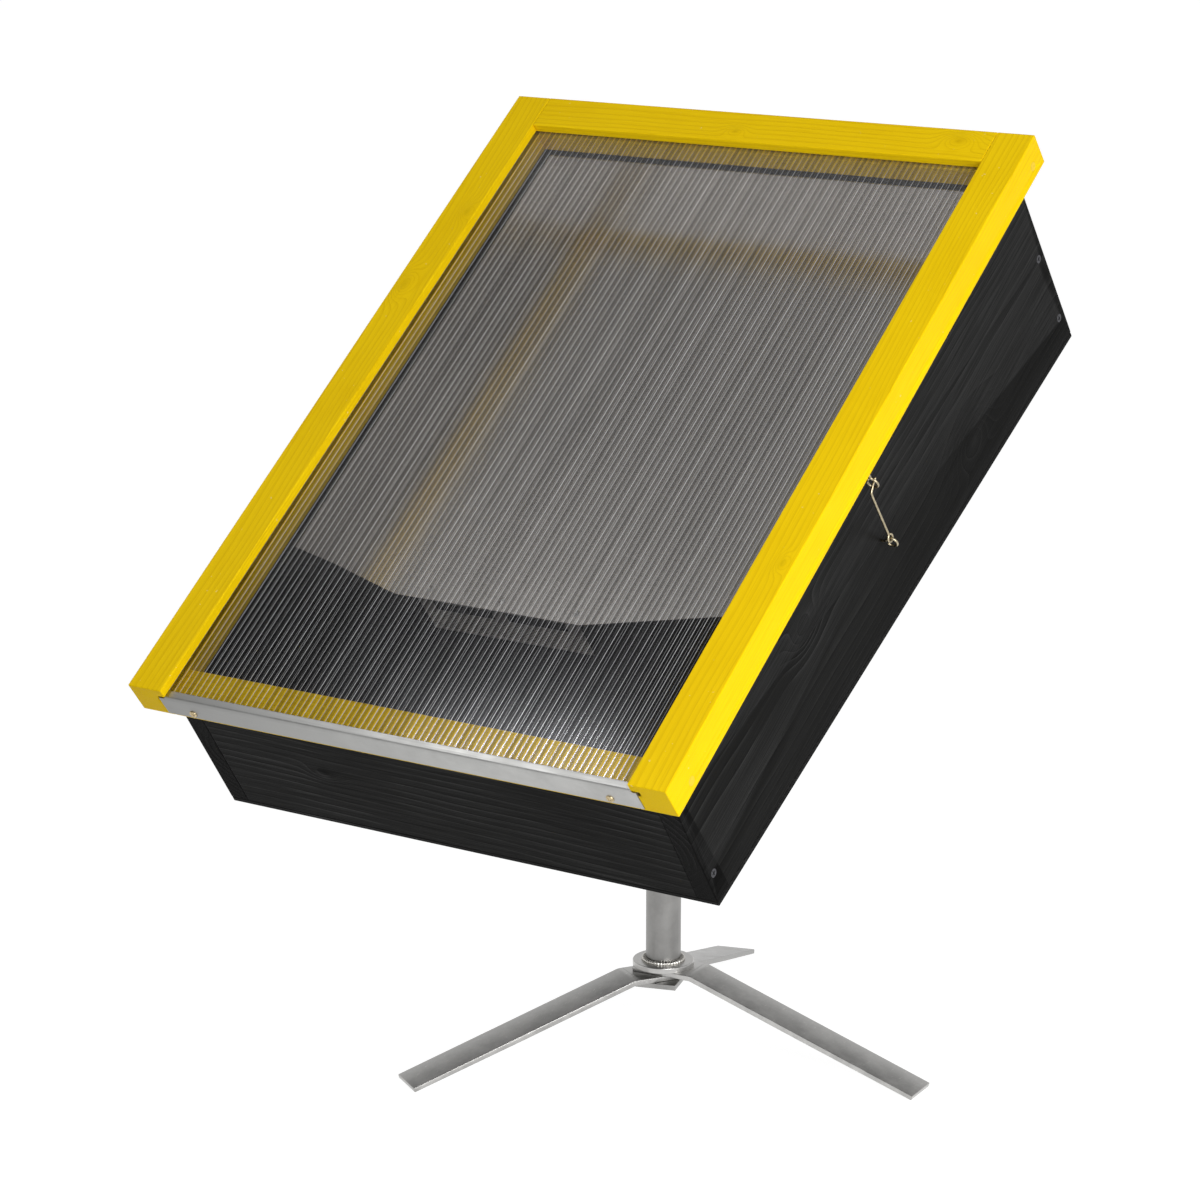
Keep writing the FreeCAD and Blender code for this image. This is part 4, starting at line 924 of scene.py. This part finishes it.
class MELTER_OT_latch(Operator):
    """Bend the wire hook and its two screw eyes."""

    bl_idname = "melter.latch"
    bl_label = "Hook and eyes"

    def execute(self, context):
        sizes = context.scene.melter_latch
        radius = sizes.wire / 2
        u, v, n = sizes.hook_pivot
        finish = plain_metal("latch_plating", tuple(sizes.plating), 0.30, 0.3)
        turn = np.radians(np.linspace(24, 360, 56))
        ring = lid_points(u, v + sizes.hook_ring * np.sin(turn), n + sizes.hook_ring * np.cos(turn))
        kink_n = sizes.kink_depth
        shank = lid_points(u, np.array((v, v + sizes.kink_ahead, v + sizes.kink_ahead + sizes.tip_run)),
                           np.array((n + sizes.hook_ring + 0.004, kink_n, kink_n + sizes.tip_rise)))
        path = smoothed(np.concatenate((ring, shank)), 0.0006, 9)
        closed_piece("hook_wire", [wire_tube(path, radius, 16)], "hook", "latch_hook", "yellow_zinc", finish)
        eyes = (("side_eye_wire", "box", "side_eye", (u, v, n - sizes.eye_ring), (-1, 0), sizes.side_shank),
                ("lid_eye_wire", "lid", "lid_eye", (u, v + sizes.lid_eye_ahead, sizes.lid_eye_depth), (0, 1),
                 sizes.lid_shank))
        for name, body, node, centre, toward, length in eyes:
            start = math.atan2(toward[1], toward[0])
            turn = start + np.radians(np.linspace(-338, -14, 60))
            loop = lid_points(centre[0] + sizes.eye_ring * np.cos(turn), centre[1],
                              centre[2] + sizes.eye_ring * np.sin(turn))
            reach = np.array((sizes.eye_ring + 0.0012, length))
            stem = lid_points(centre[0] + toward[0] * reach, centre[1], centre[2] + toward[1] * reach)
            path = smoothed(np.concatenate((loop, stem)), 0.0005, 5)
            total = np.linalg.norm(np.diff(path, axis=0), axis=1).sum()
            thread = (total - (length - sizes.eye_ring) + 0.005, total - 0.0008, 0.0012, 0.00018)
            wire = wire_tube(path, radius, 16, thread)
            closed_piece(name, [wire], body, node, "yellow_zinc", finish)
        return {"FINISHED"}


class MELTER_OT_hinges(Operator):
    """Finish the two butt hinges on the left side."""

    bl_idname = "melter.hinges"
    bl_label = "Hinges"

    def execute(self, context):
        finish = steel("hinge_zinc", (0.58, 0.58, 0.60), (0, 1, 0), 0.36)
        for node in ("hinge_box_leaves", "hinge_lid_leaves"):
            dress(node, finish)
        screws = plain_metal("hinge_screw_zinc", (0.6, 0.6, 0.62), 0.32)
        for node in ("hinge_box_screws", "hinge_lid_screws", "hinge_pins"):
            dress(node, screws)
        return {"FINISHED"}


class MELTER_OT_swivel(Operator):
    """Finish the swivel head under the box."""

    bl_idname = "melter.swivel"
    bl_label = "Swivel head"

    def execute(self, context):
        colour = tuple(context.scene.melter_stand.steel)
        dress("swivel_socket", steel("socket_steel", colour, (0, 0, 1), 0.34))
        dress("socket_stop", steel("stop_steel", colour, (1, 0, 0), 0.34))
        dress("swivel_plate", leg_steel("plate_steel", colour, 0.38))
        dress("plate_screws", plain_metal("plate_screw_zinc", (0.62, 0.62, 0.63), 0.3))
        return {"FINISHED"}


class MELTER_OT_pole(Operator):
    """Finish the pole, its flange, the hub bolt and its nut."""

    bl_idname = "melter.pole"
    bl_label = "Pole and hub"

    def execute(self, context):
        colour = tuple(context.scene.melter_stand.steel)
        dress("post", steel("pole_brushed", shade(colour, 0.72), (0, 0, 1), 0.33))
        dress("hub_flange", steel("flange_turned", shade(colour, 1.35), (1, 1, 0), 0.30))
        for node in ("hub_bolt", "hub_nut"):
            dress(node, plain_metal(node + "_zinc", (0.6, 0.6, 0.6), 0.32))
        return {"FINISHED"}


class MELTER_OT_weld(Operator):
    """Lay the rippled weld bead round the foot of the pole."""

    bl_idname = "melter.weld"
    bl_label = "Weld bead"

    def execute(self, context):
        sizes = context.scene.melter_stand
        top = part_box("hub_flange")[1][2]
        inside = POLE_RADIUS - 0.0003
        under = top - 0.0001
        turn = np.linspace(0, 2 * math.pi, 264, endpoint=False)
        arc = np.linspace(-0.35, math.pi / 2 + 0.35, 12)
        ripple = 1 + 0.10 * np.sin(sizes.ripples * turn) + 0.05 * np.sin(5 * turn + 1.0)
        size = sizes.bead * 0.62 * ripple
        across = POLE_RADIUS + 0.0008 + size[:, None] * np.cos(arc)[None, :] * 1.15
        height = top + 0.0006 + size[:, None] * np.sin(arc)[None, :]
        across = np.maximum(np.pad(across, ((0, 0), (0, 1)), constant_values=inside), inside)
        height = np.maximum(np.pad(height, ((0, 0), (0, 1)), constant_values=under), under)
        x = POLE[0] + across * np.cos(turn)[:, None]
        y = POLE[1] + across * np.sin(turn)[:, None]
        points = np.stack((x, y, height), axis=-1)
        faces = tube_grid(len(turn), points.shape[1], closed=True)
        closed_piece("weld_bead", [(points, faces)], "stand", "post_weld", "stainless",
                     plain_metal("weld_bright", (0.66, 0.64, 0.60), 0.3))
        return {"FINISHED"}


# Each leg's node, direction in degrees, reach, tail behind the pole, layer from the top, and a factor on its
# steel colour for painted light and shade
LEGS = (("leg_right", 5.7, 0.258, 0.022, 0, 1.42),
        ("leg_left", -121.0, 0.253, 0.012, 1, 1.25),
        ("leg_back", 107.7, 0.262, 0.027, 2, 0.95))


class MELTER_OT_legs(Operator):
    """Bend the three flat bars of the stand."""

    bl_idname = "melter.legs"
    bl_label = "Legs"

    def execute(self, context):
        sizes = context.scene.melter_stand
        colour = tuple(sizes.steel)
        for node, azimuth, reach, tail, layer, painted_light_factor in LEGS:
            bar = bent_bar(sizes, math.radians(azimuth), reach, tail, layer)
            # Painted light and shade: each leg's steel colour is scaled by how much light that leg gets
            finish = leg_steel(node + "_steel", shade(colour, painted_light_factor), 0.36)
            closed_piece(node + "_bar", [bar], "stand", node, "stainless", finish, sharp=30)
        return {"FINISHED"}


def bent_bar(sizes, azimuth, reach, tail, layer):
    """Flat bar along a level run, an arc and a run down to the floor: a rounded rectangle carried along
    its middle line, with a scribed line where the bend begins, and its foot cut level with the floor."""
    thick = sizes.bar_thickness
    top = sizes.hub_height - layer * thick
    run = reach - sizes.bend_place
    slope = math.atan2(top - thick, run)
    for _ in range(8):
        slope = math.atan2(top + sizes.foot_flat - thick * math.cos(slope), run)
    half = thick / 2
    corner = np.array((sizes.bend_place - math.tan(slope / 2) * half, top - half))
    radius = sizes.bend_radius + half
    trim = radius * math.tan(slope / 2)
    down = np.array((math.cos(slope), -math.sin(slope)))
    length = run / math.cos(slope) + math.tan(slope / 2) * half
    angle = np.linspace(0, slope, 9)
    arc = corner + np.stack((-trim + radius * np.sin(angle), -radius + radius * np.cos(angle)), axis=-1)
    mark = corner[0] - trim - 0.002
    level = np.concatenate(((-tail, -tail + 0.0004), mark + np.array((-5, -3, 0, 3, 5)) * 0.0001))
    level = np.stack((level, np.full(7, top - half)), axis=-1)
    fall = corner + np.array((trim + 0.004, length * 0.5, length - 0.0004, length))[:, None] * down
    path = np.concatenate((level, arc, fall))
    heading = np.concatenate((np.zeros(7), angle, np.full(4, slope)))
    scribe = np.zeros(len(path))
    scribe[4] = 0.00025
    shrink = np.zeros(len(path))
    shrink[0] = shrink[-1] = 0.0004
    outline = rounded_rectangle(sizes.bar_width, thick, 0.0007, 3)
    across = outline[None, :, 0] * (1 - 2 * shrink[:, None] / sizes.bar_width)
    rise = outline[None, :, 1] * (1 - 2 * shrink[:, None] / thick)
    rise = np.where(rise > half * 0.7, rise - scribe[:, None], rise)
    out = path[:, 0, None] + rise * np.sin(heading)[:, None]
    height = np.maximum(path[:, 1, None] + rise * np.cos(heading)[:, None], 0.0)
    x = POLE[0] + out * math.cos(azimuth) - across * math.sin(azimuth)
    y = POLE[1] + out * math.sin(azimuth) + across * math.cos(azimuth)
    return np.stack((x, y, height), axis=-1).reshape(-1, 3), tube_grid(len(path), len(outline))


class MELTER_OT_stage(Operator):
    """Set the white floor, the studio light and the camera."""

    bl_idname = "melter.stage"
    bl_label = "Studio"

    def execute(self, context):
        sizes = context.scene.melter_stage
        set_floor()
        set_light(sizes)
        set_camera(sizes)
        context.scene.view_settings.view_transform = "Standard"
        return {"FINISHED"}


def set_floor():
    """White floor that keeps the object's soft shadow."""
    half = 40.0
    points = [(-half, -half, 0), (half, -half, 0), (half, half, 0), (-half, half, 0)]
    mesh = bpy.data.meshes.new("studio_floor")
    mesh.from_pydata(points, [], [(0, 1, 2, 3)])
    floor = linked("studio_floor", mesh)
    finish = Finish("floor_white")
    matt = finish.add("ShaderNodeBsdfDiffuse", {"Color": (0.8, 0.8, 0.8, 1.0)})
    faint = finish.add("ShaderNodeBsdfDiffuse", {"Color": (0.24, 0.24, 0.24, 1.0)})
    glow = finish.add("ShaderNodeEmission", {"Color": (1, 1, 1, 1), "Strength": 0.91})
    shown = finish.add("ShaderNodeAddShader", {0: faint, 1: glow})
    floor.data.materials.append(finish.done(finish.shared(finish.seen_directly(), matt, shown)))


def soft_lamp(name, place, target, size, power):
    """Square soft lamp that points at a target."""
    data = bpy.data.lights.new(name, "AREA")
    data.size = size
    data.energy = power
    lamp = linked(name, data)
    lamp.location = place
    lamp.rotation_euler = (Vector(place) - Vector(target)).to_track_quat("Z", "Y").to_euler()


# Place, target and size of each lamp
KEY_LAMP = ((1.75, -0.95, 1.10), (0.05, 0.0, 0.5), 1.3)
OVERHEAD_LAMP = ((-0.957, -0.625, 1.996), (0.155, -0.392, 0.353), 0.28)

# The studio's level at two heights of a direction, and the heights between which its white wall ends
SKY = ((0.25, 1.0), (0.72, 0.5))
WALL = (0.30, 0.50)


def set_light(sizes):
    """Soft lamp from the right, a small one overhead for the sheet's sheen, and an even studio that is
    dimmer overhead. The camera sees it white, and gloss and glass see its walls white."""
    soft_lamp("key", *KEY_LAMP, sizes.key_light)
    soft_lamp("overhead", *OVERHEAD_LAMP, sizes.overhead_light)
    world = bpy.data.worlds.new("studio")
    bpy.context.scene.world = world
    world.use_nodes = True
    nodes = Nodes(world.node_tree)
    height = nodes.split(nodes.add("ShaderNodeTexCoord").output("Generated"))[2]
    sky = nodes.add("ShaderNodeValToRGB", {0: height})
    for element, (position, level) in zip(sky.node.color_ramp.elements, SKY):
        element.position = position
        element.color = (level, level, level, 1)
    even = nodes.add("ShaderNodeBackground", {"Color": sky, "Strength": sizes.ambient})
    white = nodes.add("ShaderNodeBackground", {"Color": (1, 1, 1, 1), "Strength": 1.0})
    wall = nodes.add("ShaderNodeMapRange", {0: height, 1: WALL[0], 2: WALL[1], 3: 1.0, 4: 0.0})
    nodes.add("ShaderNodeOutputWorld", {0: nodes.shared(nodes.seen_directly(wall), even, white)})


def set_camera(sizes):
    """Camera at the photograph's place, turned by azimuth and elevation."""
    data = bpy.data.cameras.new("photo_camera")
    data.lens = sizes.lens
    data.sensor_width = 36
    camera = linked("photo_camera", data)
    azimuth = math.radians(sizes.azimuth)
    elevation = math.radians(sizes.elevation)
    right = Vector((math.cos(azimuth), math.sin(azimuth), 0))
    back = Vector((math.cos(elevation) * math.sin(azimuth), -math.cos(elevation) * math.cos(azimuth),
                   math.sin(elevation)))
    up = back.cross(right)
    turn = Matrix((right, up, back)).transposed().to_4x4()
    camera.matrix_world = Matrix.Translation(Vector(sizes.camera_place)) @ turn
    bpy.context.scene.camera = camera


class MELTER_PT_panel(Panel):
    """Lists the melter's pieces."""

    bl_label = "Wax melter"
    bl_idname = "MELTER_PT_panel"
    bl_space_type = "VIEW_3D"
    bl_region_type = "UI"
    bl_category = "Wax melter"

    def draw(self, context):
        for operator in OPERATORS:
            self.layout.operator(operator.bl_idname)


GROUPS = {"melter_lid": MelterLid, "melter_box": MelterBox, "melter_stand": MelterStand,
          "melter_latch": MelterLatch, "melter_stage": MelterStage}
OPERATORS = (MELTER_OT_lid_frame, MELTER_OT_sheet, MELTER_OT_edge_strip, MELTER_OT_box_boards,
             MELTER_OT_tray, MELTER_OT_strainer, MELTER_OT_latch, MELTER_OT_hinges, MELTER_OT_swivel,
             MELTER_OT_pole, MELTER_OT_weld, MELTER_OT_legs, MELTER_OT_stage)


def register():
    """Add the groups, operators and panel to Blender."""
    for group in GROUPS.values():
        bpy.utils.register_class(group)
    for name, group in GROUPS.items():
        setattr(bpy.types.Scene, name, PointerProperty(type=group))
    for operator in OPERATORS:
        bpy.utils.register_class(operator)
    bpy.utils.register_class(MELTER_PT_panel)


def unregister():
    """Take them out again."""
    bpy.utils.unregister_class(MELTER_PT_panel)
    for operator in reversed(OPERATORS):
        bpy.utils.unregister_class(operator)
    for name in GROUPS:
        delattr(bpy.types.Scene, name)
    for group in reversed(list(GROUPS.values())):
        bpy.utils.unregister_class(group)


def main():
    """Build every piece in order."""
    register()
    for operator in OPERATORS:
        area, name = operator.bl_idname.split(".")
        getattr(getattr(bpy.ops, area), name)()


if __name__ == "__main__":
    main()
